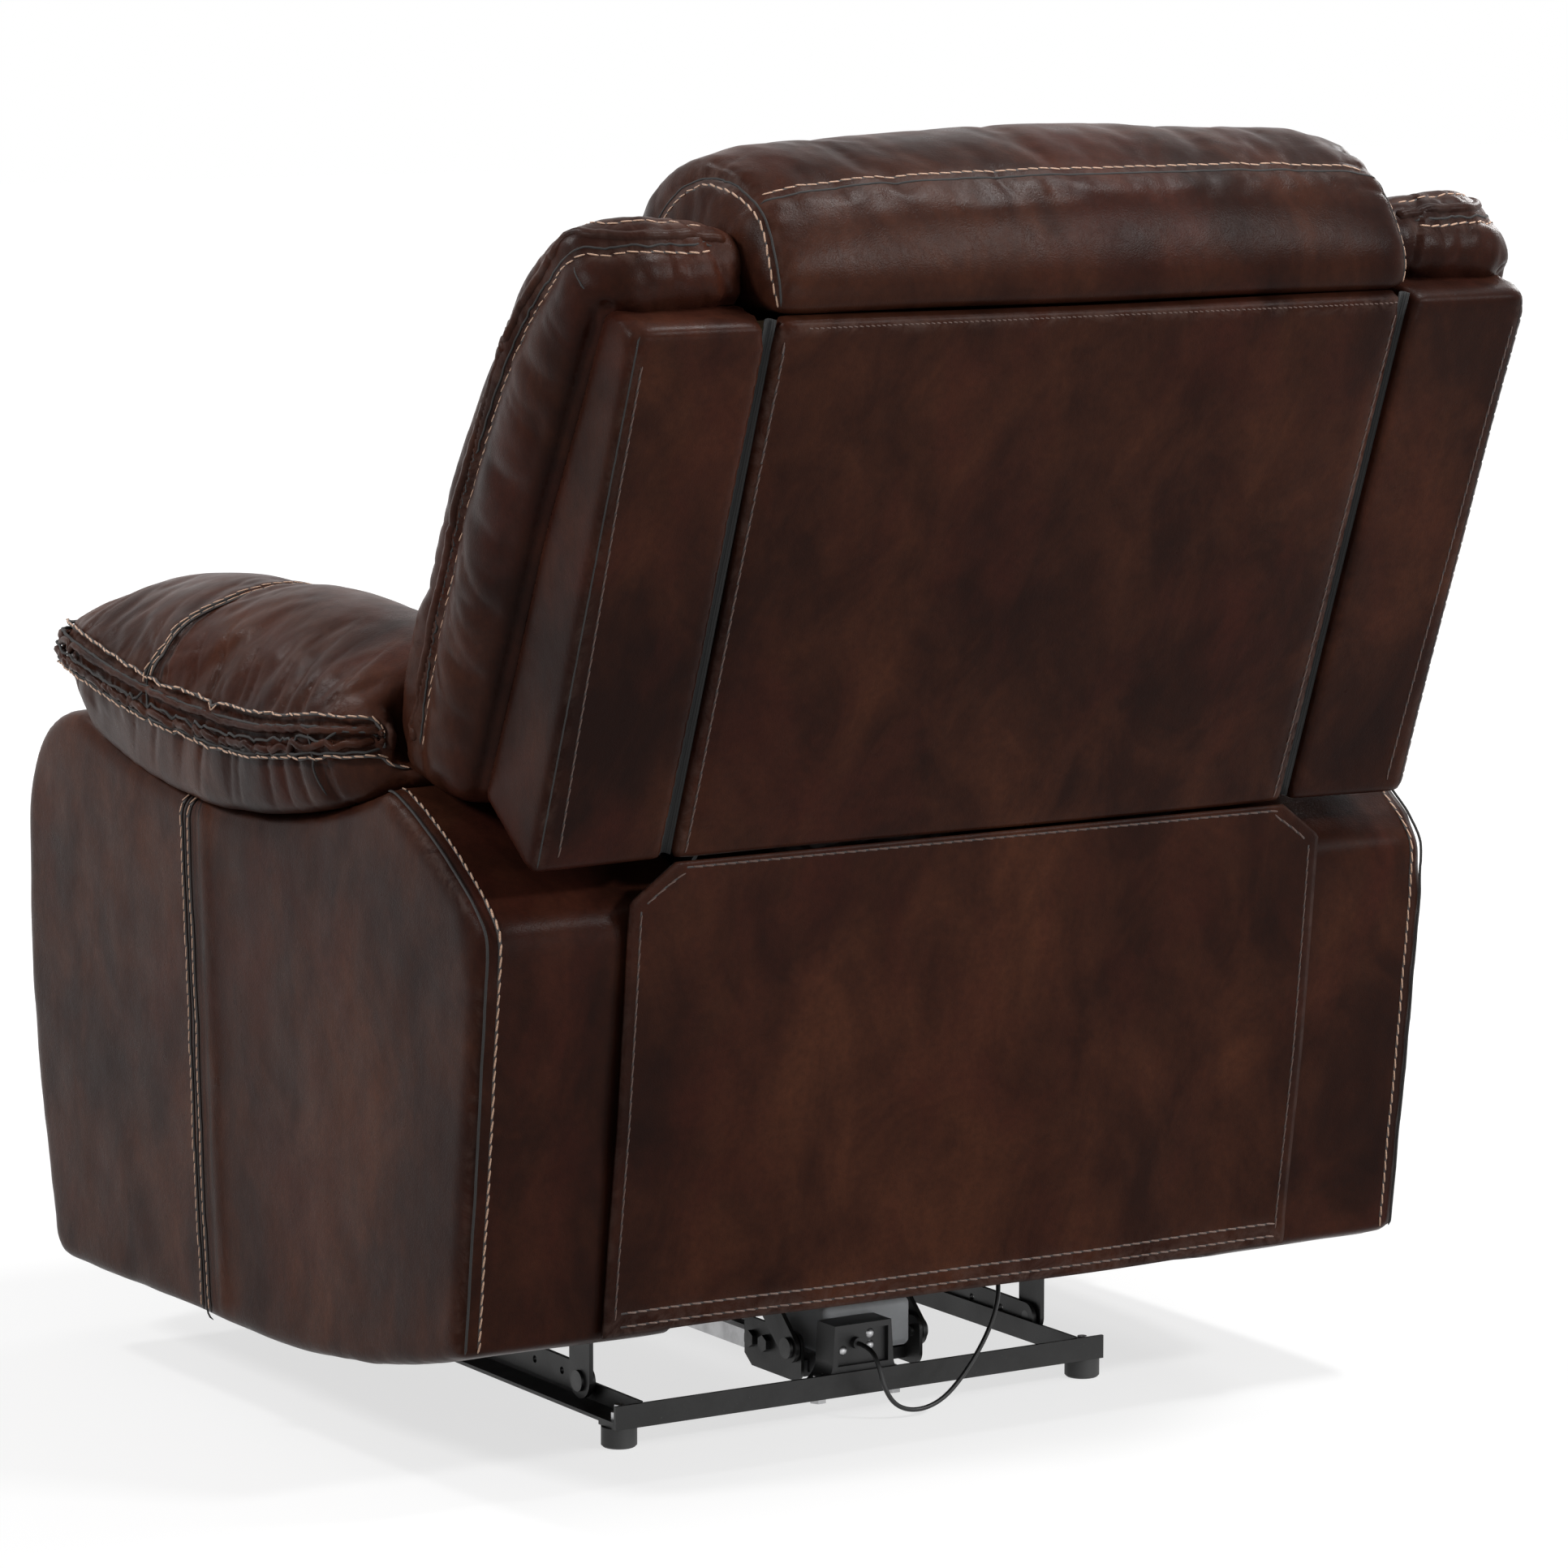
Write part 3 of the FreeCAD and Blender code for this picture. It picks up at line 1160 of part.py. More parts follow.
def build_seat():
    plate = seat_plate()
    save("seat_plate_left", plate)
    save("seat_plate_right", mirrored(plate))
    save("seat_pins", *seat_pins())
    rail = seat_rail()
    save("seat_rail_left", rail)
    save("seat_rail_right", mirrored(rail))
    save("seat_cross_rails", *cross_seat_rails())
    save("seat_springs", *[sinuous_spring(x) for x in (-165, -55, 55, 165)])
    save("seat_cushion", seat_cushion())
    save("hinge_plates", hinge_plates())
    arm = arm_block()
    save("arm_left", arm)
    save("arm_right", arm_with_switch_pocket(arm))
    pad = arm_pad()
    save("arm_pad_left", pad)
    save("arm_pad_right", mirrored(pad))
    save("rear_flap", rear_flap())
    save("switch_plate", switch_plate())
    low, high = button_rows()
    save("button_down", button(low))
    save("button_up", button(high))


def build_back():
    side = wing()
    save("wing_left", side)
    save("wing_right", mirrored(side))
    save("back_panel", back_panel())
    save("back_posts", back_posts())
    save("back_rails", *back_rails())
    save("back_brackets", back_brackets())
    puff = bolster()
    save("bolster_left", puff)
    save("bolster_right", mirrored(puff))
    save("lumbar_cushion", lumbar_cushion())
    save("upper_cushion", upper_cushion())
    save("headrest", headrest())


def build_footrest():
    for name, make in (("swing_plates", swing_plate), ("footrest_bar_a", bar_a),
                       ("footrest_bar_b", bar_b), ("footrest_bar_c", bar_c),
                       ("footrest_bar_d", bar_d), ("footrest_brackets", rest_bracket)):
        save(name, both(make()))
    save("footrest_board", footrest_board())
    save("footrest_pad", footrest_pad())


def main():
    os.makedirs("parts", exist_ok=True)
    build_base()
    build_lift()
    build_seat()
    build_back()
    build_footrest()


main()
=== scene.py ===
"""Looks of the lift recliner: leather upholstery, stitching, steel base and studio."""
import json
import math

import bmesh
import bpy
import numpy as np
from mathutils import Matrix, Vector, noise
from mathutils.bvhtree import BVHTree
from mathutils.kdtree import KDTree


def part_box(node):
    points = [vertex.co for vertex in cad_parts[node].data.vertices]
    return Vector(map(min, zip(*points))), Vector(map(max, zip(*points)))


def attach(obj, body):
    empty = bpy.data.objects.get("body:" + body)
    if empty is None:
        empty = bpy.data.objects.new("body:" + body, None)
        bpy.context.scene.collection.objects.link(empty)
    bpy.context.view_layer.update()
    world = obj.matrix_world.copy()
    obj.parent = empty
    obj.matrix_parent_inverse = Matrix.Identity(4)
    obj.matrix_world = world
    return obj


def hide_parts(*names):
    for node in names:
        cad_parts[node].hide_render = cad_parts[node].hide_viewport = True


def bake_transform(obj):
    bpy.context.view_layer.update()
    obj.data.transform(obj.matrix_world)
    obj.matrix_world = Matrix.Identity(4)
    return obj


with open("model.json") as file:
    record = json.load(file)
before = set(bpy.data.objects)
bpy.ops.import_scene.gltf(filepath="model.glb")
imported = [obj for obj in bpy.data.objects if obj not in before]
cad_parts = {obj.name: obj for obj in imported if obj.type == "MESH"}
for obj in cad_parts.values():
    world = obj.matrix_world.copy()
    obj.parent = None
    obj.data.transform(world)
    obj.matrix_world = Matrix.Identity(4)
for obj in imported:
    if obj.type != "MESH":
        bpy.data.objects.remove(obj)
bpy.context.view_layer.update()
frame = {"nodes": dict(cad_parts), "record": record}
NODES = frame["nodes"]
SCENE = bpy.context.scene


# Camera, light
LENS, SENSOR_WIDTH, FAR_CLIP = 143.64, 36.0, 60.0
CAMERA_PLACE = (2.772, 4.482, 1.270)
CAMERA_AIM = (-0.52455, -0.83941, -0.14234)

LAMPS = [
    # name, place, aim, size, power
    ("key", (3.2, 0.1, 2.4), (0, 0.1, 0.6), (0.45, 0.60), 54),
    ("rear", (-2.0, 3.3, 2.7), (0, 0.3, 0.9), (0.90, 0.36), 82),
    ("top", (-1.1, 0.9, 3.3), (0, 0.3, 0.6), (0.90, 0.30), 54),
    ("low", (-0.6, 3.4, 0.32), (0, 0.2, 0.05), (1.0, 0.25), 13),
    ("front_left", (1.9, -2.3, 3.5), (0.1, 0, 0.6), (0.60, 0.50), 46),
    ("front_right", (-3.3, -1.6, 2.2), (0, 0, 0.5), (0.80, 0.70), 30),
]

SKY_SHOWN, SKY_LIGHT = 1.0, 0.22
FLOOR_SIZE, FLOOR_DROP, FLOOR_GREY = 40, 0.0005, 0.34
FLOOR_SHOWN, FLOOR_LIGHT = 1.0, 0.0
FADE_NEAR, FADE_FAR = 0.9, 2.6
FADE_START, FADE_END = 0.70, 1.0


def add_camera():
    data = bpy.data.cameras.new("camera")
    data.lens = LENS
    data.sensor_width = SENSOR_WIDTH
    data.clip_end = FAR_CLIP
    cam = bpy.data.objects.new("camera", data)
    cam.location = CAMERA_PLACE
    cam.rotation_euler = Vector(CAMERA_AIM).to_track_quat("-Z", "Y").to_euler()
    SCENE.collection.objects.link(cam)
    SCENE.camera = cam


def area_light(name, place, aim, size, power):
    data = bpy.data.lights.new(name, "AREA")
    data.shape = "RECTANGLE"
    data.size, data.size_y = size
    data.energy = power
    lamp = bpy.data.objects.new(name, data)
    lamp.location = place
    way = Vector(aim) - Vector(place)
    lamp.rotation_euler = way.to_track_quat("-Z", "Y").to_euler()
    SCENE.collection.objects.link(lamp)


def add_lights():
    for lamp in LAMPS:
        area_light(*lamp)


class Nodes:
    """Adds nodes to a tree, with their inputs set to values or linked to sockets."""

    def __init__(self, tree):
        self.tree = tree

    def link(self, a, b):
        self.tree.links.new(a, b)

    def feed(self, node, **inputs):
        for key, value in inputs.items():
            socket = node.inputs[key.replace("_", " ")]
            if isinstance(value, bpy.types.NodeSocket):
                self.link(value, socket)
            elif socket.type == "RGBA":
                socket.default_value = (*value, 1)
            else:
                socket.default_value = value

    def fed(self, kind, **inputs):
        node = self.tree.nodes.new(kind)
        self.feed(node, **inputs)
        return node

    def math(self, op, *values):
        node = self.tree.nodes.new("ShaderNodeMath")
        node.operation = op
        for value, socket in zip(values, node.inputs):
            if isinstance(value, bpy.types.NodeSocket):
                self.link(value, socket)
            else:
                socket.default_value = value
        return node.outputs[0]

    def span(self, fac, lo, hi, a=0.0, b=1.0):
        return self.fed("ShaderNodeMapRange", Value=fac, From_Min=lo, From_Max=hi,
                        To_Min=a, To_Max=b).outputs["Result"]

    def by_ray(self, seen, other):
        """Strength by the kind of ray: what camera, gloss and glass show, and other light."""
        path = self.fed("ShaderNodeLightPath")
        shown = path.outputs["Is Camera Ray"]
        for kind in ("Is Glossy Ray", "Is Transmission Ray"):
            shown = self.math("MAXIMUM", shown, path.outputs[kind])
        return self.fed("ShaderNodeMix", Factor=shown, A=other, B=seen).outputs["Result"]


def add_world():
    world = bpy.data.worlds.new("studio")
    SCENE.world = world
    world.use_nodes = True
    world.node_tree.nodes.clear()
    sky = Nodes(world.node_tree)
    light = sky.fed("ShaderNodeBackground", Color=(1, 1, 1), Strength=sky.by_ray(SKY_SHOWN, SKY_LIGHT))
    sky.fed("ShaderNodeOutputWorld", Surface=light.outputs[0])


def add_floor():
    """Pale floor that shows white, with the object's soft shadow kept."""
    bpy.ops.mesh.primitive_plane_add(size=FLOOR_SIZE, location=(0, 0, -FLOOR_DROP))
    floor = bpy.context.object
    floor.name = "floor"
    mat = bpy.data.materials.new("floor")
    mat.use_nodes = True
    mat.node_tree.nodes.clear()
    s = Nodes(mat.node_tree)
    body = s.fed("ShaderNodeBsdfDiffuse", Color=(FLOOR_GREY,) * 3)
    length = s.tree.nodes.new("ShaderNodeVectorMath")
    length.operation = "LENGTH"
    s.link(s.fed("ShaderNodeTexCoord").outputs["Object"], length.inputs[0])
    fade = s.span(length.outputs["Value"], FADE_NEAR, FADE_FAR, FADE_START, FADE_END)
    lit = s.math("MULTIPLY", s.by_ray(FLOOR_SHOWN, FLOOR_LIGHT), fade)
    glow = s.fed("ShaderNodeEmission", Strength=lit)
    both = s.tree.nodes.new("ShaderNodeAddShader")
    s.link(glow.outputs[0], both.inputs[0])
    s.link(body.outputs[0], both.inputs[1])
    s.fed("ShaderNodeOutputMaterial", Surface=both.outputs[0])
    floor.data.materials.append(mat)


# Materials
class Shader(Nodes):
    """Builds a Principled material from nodes."""

    def __init__(self, name):
        self.mat = bpy.data.materials.new(name)
        self.mat.use_nodes = True
        super().__init__(self.mat.node_tree)
        self.bsdf = self.tree.nodes["Principled BSDF"]
        self.coord = self.fed("ShaderNodeTexCoord").outputs["Object"]

    def set(self, **values):
        self.feed(self.bsdf, **values)

    def mapped(self, scale):
        return self.fed("ShaderNodeMapping", Scale=scale, Vector=self.coord).outputs["Vector"]

    def noise(self, scale, detail=3.0, rough=0.55, vector=None, distortion=0.0):
        return self.fed("ShaderNodeTexNoise", Scale=scale, Detail=detail, Roughness=rough,
                        Distortion=distortion, Vector=vector or self.coord).outputs["Fac"]

    def voronoi(self, scale, feature="F1", vector=None):
        node = self.fed("ShaderNodeTexVoronoi", Scale=scale, Vector=vector or self.coord)
        node.feature = feature
        return node.outputs["Distance"]

    def ramp(self, fac, stops):
        node = self.fed("ShaderNodeValToRGB", Fac=fac)
        ramp = node.color_ramp
        while len(ramp.elements) < len(stops):
            ramp.elements.new(0.5)
        for element, (place, colour) in zip(ramp.elements, stops):
            element.position = place
            element.color = (*colour, 1)
        return node.outputs["Color"]

    def mix(self, fac, a, b):
        node = self.tree.nodes.new("ShaderNodeMix")
        node.data_type = "RGBA"
        self.link(fac, node.inputs[0])
        for value, socket in ((a, node.inputs[6]), (b, node.inputs[7])):
            if isinstance(value, tuple):
                socket.default_value = (*value, 1)
            else:
                self.link(value, socket)
        return node.outputs[2]

    def bump(self, height, strength, distance, base=None):
        node = self.fed("ShaderNodeBump", Strength=strength, Distance=distance, Height=height)
        if base is not None:
            self.link(base, node.inputs["Normal"])
        return node.outputs["Normal"]

    def attribute(self, name):
        node = self.tree.nodes.new("ShaderNodeAttribute")
        node.attribute_name = name
        return node.outputs["Fac"]


LEATHER_ROUGH = 0.31
LEATHER_SPECULAR = 0.045
RUBBED_AND_SHEEN_SHARE = 0.5


def leather(name):
    """Brown two-tone leather: mottled stain, pebble grain, creases, and edges lightened by rubbed wear
    and by a painted sheen.
    """
    s = Shader(name)
    cloud = s.noise(4.2, 5.0, 0.60, s.mapped((1.0, 1.0, 0.75)), 0.35)
    patch = s.noise(13.0, 4.0, 0.62, s.mapped((1.0, 1.0, 0.6)), 0.7)
    blend = s.math("ADD", s.math("MULTIPLY", cloud, 0.60), s.math("MULTIPLY", patch, 0.40))
    colour = s.ramp(blend, (
        (0.38, (0.0150, 0.0050, 0.0034)),
        (0.46, (0.0250, 0.0080, 0.0048)),
        (0.55, (0.0470, 0.0155, 0.0085)),
        (0.65, (0.0760, 0.0255, 0.0130)),
    ))
    red = s.span(s.noise(7.0, 4.0, 0.6, s.mapped((1.3, 1.0, 0.8)), 0.5), 0.50, 0.70, 0.0, 0.55)
    colour = s.mix(red, colour, (0.0580, 0.0150, 0.0095))
    fine = s.noise(190.0, 3.0, 0.6)
    colour = s.mix(s.span(fine, 0.35, 0.75, 0.0, 0.30), colour, (0.010, 0.005, 0.004))
    rub_sheen_breakup = s.noise(38.0, 6.0, 0.72, distortion=1.2)
    worn_and_sheen = s.math("MULTIPLY", s.attribute("wear"), s.span(rub_sheen_breakup, 0.42, 0.68))
    # greyer light tone on seams and edges: rubbed wear, and partly a painted sheen highlight
    colour = s.mix(s.math("MULTIPLY", worn_and_sheen, RUBBED_AND_SHEEN_SHARE), colour, (0.150, 0.098, 0.082))
    s.set(Base_Color=colour)
    cells = s.voronoi(560.0, "SMOOTH_F1", s.mapped((1.0, 1.0, 1.25)))
    grain = s.math("ADD", s.math("MULTIPLY", cells, 0.8), s.noise(1250.0, 2.0, 0.5))
    crease = s.noise(52.0, 4.0, 0.7, s.mapped((1.0, 1.0, 0.55)), 1.6)
    line = s.math("ABSOLUTE", s.math("SUBTRACT", crease, 0.5))
    line = s.span(line, 0.0, 0.022, 0.0, 1.0)
    normal = s.bump(line, 0.10, 0.0007)
    normal = s.bump(s.noise(21.0, 3.0, 0.5), 0.22, 0.0035, normal)
    normal = s.bump(grain, 0.26, 0.00042, normal)
    s.set(Normal=normal)
    rough = s.span(s.noise(26.0, 4.0, 0.6), 0.3, 0.75, LEATHER_ROUGH - 0.05, LEATHER_ROUGH + 0.10)
    rough = s.math("ADD", rough, s.math("MULTIPLY", worn_and_sheen, 0.22))
    s.set(Roughness=rough, Specular_IOR_Level=LEATHER_SPECULAR)
    return s.mat


def thread(name, colour):
    s = Shader(name)
    twist = s.noise(900.0, 2.0, 0.5, s.mapped((1.0, 1.0, 2.2)))
    dark = tuple(c * 0.55 for c in colour)
    s.set(Base_Color=s.ramp(twist, ((0.35, dark), (0.62, colour))))
    s.set(Normal=s.bump(twist, 0.5, 0.0004))
    s.set(Roughness=0.62, Sheen_Weight=0.2)
    return s.mat


def paint(name, colour, rough=0.38):
    """Powder coat: orange-peel bump, lighter dusty clouds at random, rubbed bright specks."""
    s = Shader(name)
    peel = s.noise(420.0, 2.0, 0.5)
    cloud = s.noise(22.0, 5.0, 0.65)
    light = tuple(min(1.0, c * 1.9 + 0.012) for c in colour)
    base = s.ramp(cloud, ((0.40, colour), (0.72, light)))
    speck = s.span(s.noise(260.0, 2.0, 0.8), 0.70, 0.78)
    s.set(Base_Color=s.mix(s.math("MULTIPLY", speck, 0.5), base, (0.16, 0.155, 0.15)))
    s.set(Roughness=s.span(cloud, 0.3, 0.7, rough - 0.06, rough + 0.12))
    s.set(Normal=s.bump(peel, 0.25, 0.0003))
    s.set(Specular_IOR_Level=0.45)
    return s.mat


def metal(name, colour, rough, scratch=(1.0, 14.0, 14.0)):
    s = Shader(name)
    lines = s.noise(90.0, 3.0, 0.6, s.mapped(scratch))
    stain = s.noise(30.0, 4.0, 0.6)
    dull = tuple(c * 0.62 for c in colour)
    s.set(Base_Color=s.ramp(stain, ((0.35, dull), (0.62, colour))))
    s.set(Metallic=1.0, Roughness=s.span(lines, 0.3, 0.7, rough - 0.06, rough + 0.12))
    s.set(Normal=s.bump(lines, 0.12, 0.0002))
    return s.mat


def plastic(name, colour, rough=0.45, grain=700.0):
    s = Shader(name)
    cloud = s.noise(30.0, 4.0, 0.6)
    light = tuple(min(1.0, c * 1.25 + 0.004) for c in colour)
    s.set(Base_Color=s.ramp(cloud, ((0.35, colour), (0.7, light))))
    s.set(Roughness=s.span(cloud, 0.3, 0.7, rough - 0.04, rough + 0.09))
    s.set(Normal=s.bump(s.voronoi(grain), 0.18, 0.0002))
    return s.mat


def wood(name):
    s = Shader(name)
    rings = s.noise(9.0, 5.0, 0.65, s.mapped((1.0, 8.0, 8.0)), 1.8)
    fine = s.noise(120.0, 3.0, 0.6, s.mapped((1.0, 9.0, 9.0)))
    base = s.ramp(rings, ((0.35, (0.42, 0.27, 0.14)), (0.60, (0.60, 0.43, 0.26))))
    s.set(Base_Color=s.mix(s.span(fine, 0.4, 0.7, 0.0, 0.4), base, (0.30, 0.18, 0.09)))
    s.set(Roughness=0.68)
    s.set(Normal=s.bump(fine, 0.3, 0.0004))
    return s.mat


def lining(name):
    """Black woven dust cover."""
    s = Shader(name)
    wave = s.fed("ShaderNodeTexWave", Scale=240.0, Distortion=1.5, Vector=s.coord)
    s.set(Base_Color=s.ramp(wave.outputs["Fac"], ((0.2, (0.012,) * 3), (0.8, (0.030,) * 3))))
    s.set(Normal=s.bump(wave.outputs["Fac"], 0.4, 0.0004))
    s.set(Roughness=0.9)
    return s.mat


MAT = {
    "leather": leather("leather"),
    # near-black material for seam tubes: painted shade in the seam's crevice
    "crease": plastic("crease", (0.0045, 0.0032, 0.0028), 0.75),
    # dark band under stitch rows: painted shade of the dent the thread pulls into the leather
    "bed": plastic("stitch_bed", (0.0105, 0.0062, 0.0050), 0.55),
    "tan": thread("thread_tan", (0.62, 0.385, 0.262)),
    "brown": thread("thread_brown", (0.098, 0.046, 0.031)),
    "taupe": thread("thread_taupe", (0.235, 0.150, 0.118)),
    "black_paint": paint("black_paint", (0.010, 0.0098, 0.0096)),
    "zinc_steel": metal("zinc_steel", (0.60, 0.60, 0.61), 0.34),
    "dark_steel": metal("dark_steel", (0.10, 0.10, 0.10), 0.40),
    "spring_wire": metal("spring_wire", (0.34, 0.33, 0.32), 0.42),
    "glide_plastic": plastic("glide_plastic", (0.050, 0.050, 0.050), 0.55),
    "black_plastic": plastic("black_plastic", (0.010, 0.010, 0.0105), 0.42),
    "housing_plastic": plastic("housing_plastic", (0.50, 0.52, 0.54), 0.48),
    "cable_jacket": plastic("cable_jacket", (0.008, 0.008, 0.0085), 0.38, 1500.0),
    "timber": wood("timber"),
    "button_plastic": plastic("button_plastic", (0.030, 0.030, 0.032), 0.28),
    "lining": lining("lining"),
}


BLACKENED = ("yoke_bolts", "seat_pins", "base_pivot_pins")


def dress_cad():
    """Every CAD node that stays gets the material of its slot on its own slots."""
    slots = {p["node"]: p["material_slot"] for p in frame["record"]["subparts"]}
    for name, obj in NODES.items():
        mat = MAT.get(slots.get(name), MAT["black_paint"])
        if name in BLACKENED:
            mat = MAT["dark_steel"]
        if name == "footrest_board":
            mat = MAT["lining"]
        for slot in obj.material_slots:
            slot.link = "OBJECT"
            slot.material = mat


# Mesh tools
def new_object(name, mesh, mat):
    obj = bpy.data.objects.new(name, mesh)
    SCENE.collection.objects.link(obj)
    mesh.materials.clear()
    mesh.materials.append(mat)
    return obj


def mesh_object(name, verts, faces, mat):
    mesh = bpy.data.meshes.new(name)
    mesh.from_pydata([tuple(v) for v in verts], [], faces)
    smooth_shade(mesh)
    return new_object(name, mesh, MAT[mat])


def coords(mesh):
    co = np.empty(len(mesh.vertices) * 3)
    mesh.vertices.foreach_get("co", co)
    return co.reshape(-1, 3)


def normals(mesh):
    no = np.empty(len(mesh.vertices) * 3)
    mesh.vertex_normals.foreach_get("vector", no)
    return no.reshape(-1, 3)


def put(mesh, co):
    mesh.vertices.foreach_set("co", co.ravel())
    mesh.update()


def smooth_shade(mesh):
    mesh.polygons.foreach_set("use_smooth", np.ones(len(mesh.polygons), bool))
    mesh.update()


def applied(obj):
    """Gives the object its mesh with the modifiers applied."""
    deps = bpy.context.evaluated_depsgraph_get()
    done = bpy.data.meshes.new_from_object(obj.evaluated_get(deps))
    obj.modifiers.clear()
    obj.data = done
    return done


def relax(mesh, times, amount=0.5, share=None):
    """Laplacian smoothing on the mesh's edges, in full or by each vertex's share."""
    edges = np.empty(len(mesh.edges) * 2, int)
    mesh.edges.foreach_get("vertices", edges)
    a, b = edges.reshape(-1, 2).T
    co = coords(mesh)
    count = np.bincount(a, minlength=len(co)) + np.bincount(b, minlength=len(co))
    for _ in range(times):
        total = np.zeros_like(co)
        for k in range(3):
            total[:, k] = np.bincount(a, co[b, k], len(co)) + np.bincount(b, co[a, k], len(co))
        step = amount * (total / count[:, None] - co)
        co += step if share is None else step * share[:, None]
    put(mesh, co)


def remeshed(nodes, name, voxel, times=3, mat="leather", cuts=(), swell=0.0):
    """Even copy of CAD solids: cut by planes, voxel remeshed, relaxed and swollen back."""
    bm = bmesh.new()
    for node in nodes:
        bm.from_mesh(NODES[node].data)
    bmesh.ops.remove_doubles(bm, verts=bm.verts, dist=2e-5)
    for point, normal in cuts:
        every = bm.verts[:] + bm.edges[:] + bm.faces[:]
        bmesh.ops.bisect_plane(bm, geom=every, plane_co=point, plane_no=normal, clear_outer=True)
        open_edges = [e for e in bm.edges if len(e.link_faces) < 2]
        bmesh.ops.triangle_fill(bm, edges=open_edges, use_beauty=True)
    mesh = bpy.data.meshes.new(name)
    bm.to_mesh(mesh)
    bm.free()
    obj = new_object(name, mesh, MAT[mat])
    mod = obj.modifiers.new("remesh", "REMESH")
    mod.mode = "VOXEL"
    mod.voxel_size = voxel
    done = applied(obj)
    done.name = name
    done.materials.clear()
    done.materials.append(MAT[mat])
    relax(done, times)
    if swell:
        put(done, coords(done) + normals(done) * swell)
    smooth_shade(done)
    return obj


LINE_STEP = 0.002


def densify(points, step=LINE_STEP):
    """Even samples along a smooth line through the points (Catmull-Rom)."""
    p = np.array(points, float)
    n = len(p)
    if n == 2:
        count = max(2, int(np.linalg.norm(p[1] - p[0]) / step))
        t = np.linspace(0, 1, count)[:, None]
        return p[0] + (p[1] - p[0]) * t
    ext = np.vstack([2 * p[0] - p[1], p, 2 * p[-1] - p[-2]])
    out = []
    for i in range(1, len(ext) - 2):
        a, b, c, d = ext[i - 1:i + 3]
        t = np.linspace(0, 1, 40, endpoint=False)[:, None]
        out.append(0.5 * (2 * b + (c - a) * t + (2 * a - 5 * b + 4 * c - d) * t ** 2
                          + (3 * b - a - 3 * c + d) * t ** 3))
    out.append(ext[-2][None, :])
    q = np.vstack(out)
    seg = np.linalg.norm(np.diff(q, axis=0), axis=1)
    s = np.concatenate([[0], np.cumsum(seg)])
    count = max(2, int(s[-1] / step))
    even = np.linspace(0, s[-1], count)
    return np.stack([np.interp(even, s, q[:, k]) for k in range(3)], 1)


def bvh_of(obj):
    bm = bmesh.new()
    bm.from_mesh(obj.data)
    tree = BVHTree.FromBMesh(bm)
    bm.free()
    return tree


def on_surface(tree, line):
    """The line's nearest points on a surface."""
    return np.array([tree.find_nearest(Vector(p))[0] for p in line])


def near_line(co, line, reach):
    """Distance of each vertex to a sampled line, its place along it and its index."""
    tree = KDTree(len(line))
    for i, p in enumerate(line):
        tree.insert(Vector(p), i)
    tree.balance()
    lo, hi = line.min(0) - reach, line.max(0) + reach
    close = np.where(np.all((co > lo) & (co < hi), axis=1))[0]
    dist = np.full(len(co), 9.0)
    place = np.zeros(len(co), int)
    for i in close:
        _, j, d = tree.find(Vector(co[i]))
        dist[i] = d
        place[i] = j
    return dist, place


def wave_along(s, seed, period):
    """Smooth noise of one variable, about -1 to 1, repeatable."""
    x = np.asarray(s) / period + seed * 17.31
    i = np.floor(x).astype(int)
    f = x - i
    f = f * f * (3 - 2 * f)

    def value(k):
        v = np.sin(k * 127.1 + seed * 311.7) * 43758.5453
        return 2 * (v - np.floor(v)) - 1
    return value(i) * (1 - f) + value(i + 1) * f


def groove(obj, line, depth=0.002, width=0.006, folds=()):
    """Sinks the surface along a seam and gathers it beside the seam.

    Each fold set is (height, reach, period, seed): ridges that run away from the
    seam, with round crests and narrow valleys, and die out over their reach.
    """
    co, no = coords(obj.data), normals(obj.data)
    far = max([width * 3] + [f[1] * 2.2 for f in folds])
    dist, place = near_line(co, line, far)
    s = place * LINE_STEP
    move = -depth * np.exp(-(dist / width) ** 2)
    for height, reach, period, seed in folds:
        lean = dist * 0.45 * np.sin(s * 7.0 + seed)
        wave = wave_along(s + lean, seed, period)
        ridge = np.abs(wave) ** 0.6 - 0.42
        lift = np.exp(-(dist / reach) ** 2) * (1 - np.exp(-(dist / (0.25 * reach)) ** 2) * 0.75)
        strength = 0.55 + 0.45 * wave_along(s, seed + 3.1, period * 5.0)
        move += height * lift * ridge * strength
    move[dist > far] = 0.0
    put(obj.data, co + no * move[:, None])


def bulge(obj, one, two, height, reach):
    """Crowns the surface between two seams."""
    co, no = coords(obj.data), normals(obj.data)
    a, _ = near_line(co, one, reach)
    b, _ = near_line(co, two, reach)
    inside = (a < reach) & (b < reach)
    total = np.maximum(a + b, 1e-6)
    crown = np.where(inside, 4 * a * b / total ** 2, 0.0)
    span = np.clip((reach * 1.5 - total) / (reach * 0.5), 0, 1)
    put(obj.data, co + no * (height * crown * span)[:, None])


def refined(obj):
    """One smooth subdivision, for seams and folds finer than the simulated mesh."""
    mod = obj.modifiers.new("finer", "SUBSURF")
    mod.levels = 1
    mod.render_levels = 1
    mod.boundary_smooth = "PRESERVE_CORNERS"
    name = obj.data.name
    done = applied(obj)
    done.name = name
    smooth_shade(done)


def soften(obj, y, z, reach, times=26):
    """Rounds a cross edge that runs along X at (y, z)."""
    co = coords(obj.data)
    far = np.hypot(co[:, 1] - y, co[:, 2] - z)
    relax(obj.data, times, share=np.clip((reach - far) / (reach * 0.4), 0, 1))


def set_wear_and_sheen(obj, values):
    mesh = obj.data
    att = mesh.attributes.get("wear") or mesh.attributes.new("wear", "FLOAT", "POINT")
    att.data.foreach_set("value", np.clip(values, 0, 1).astype(np.float32))


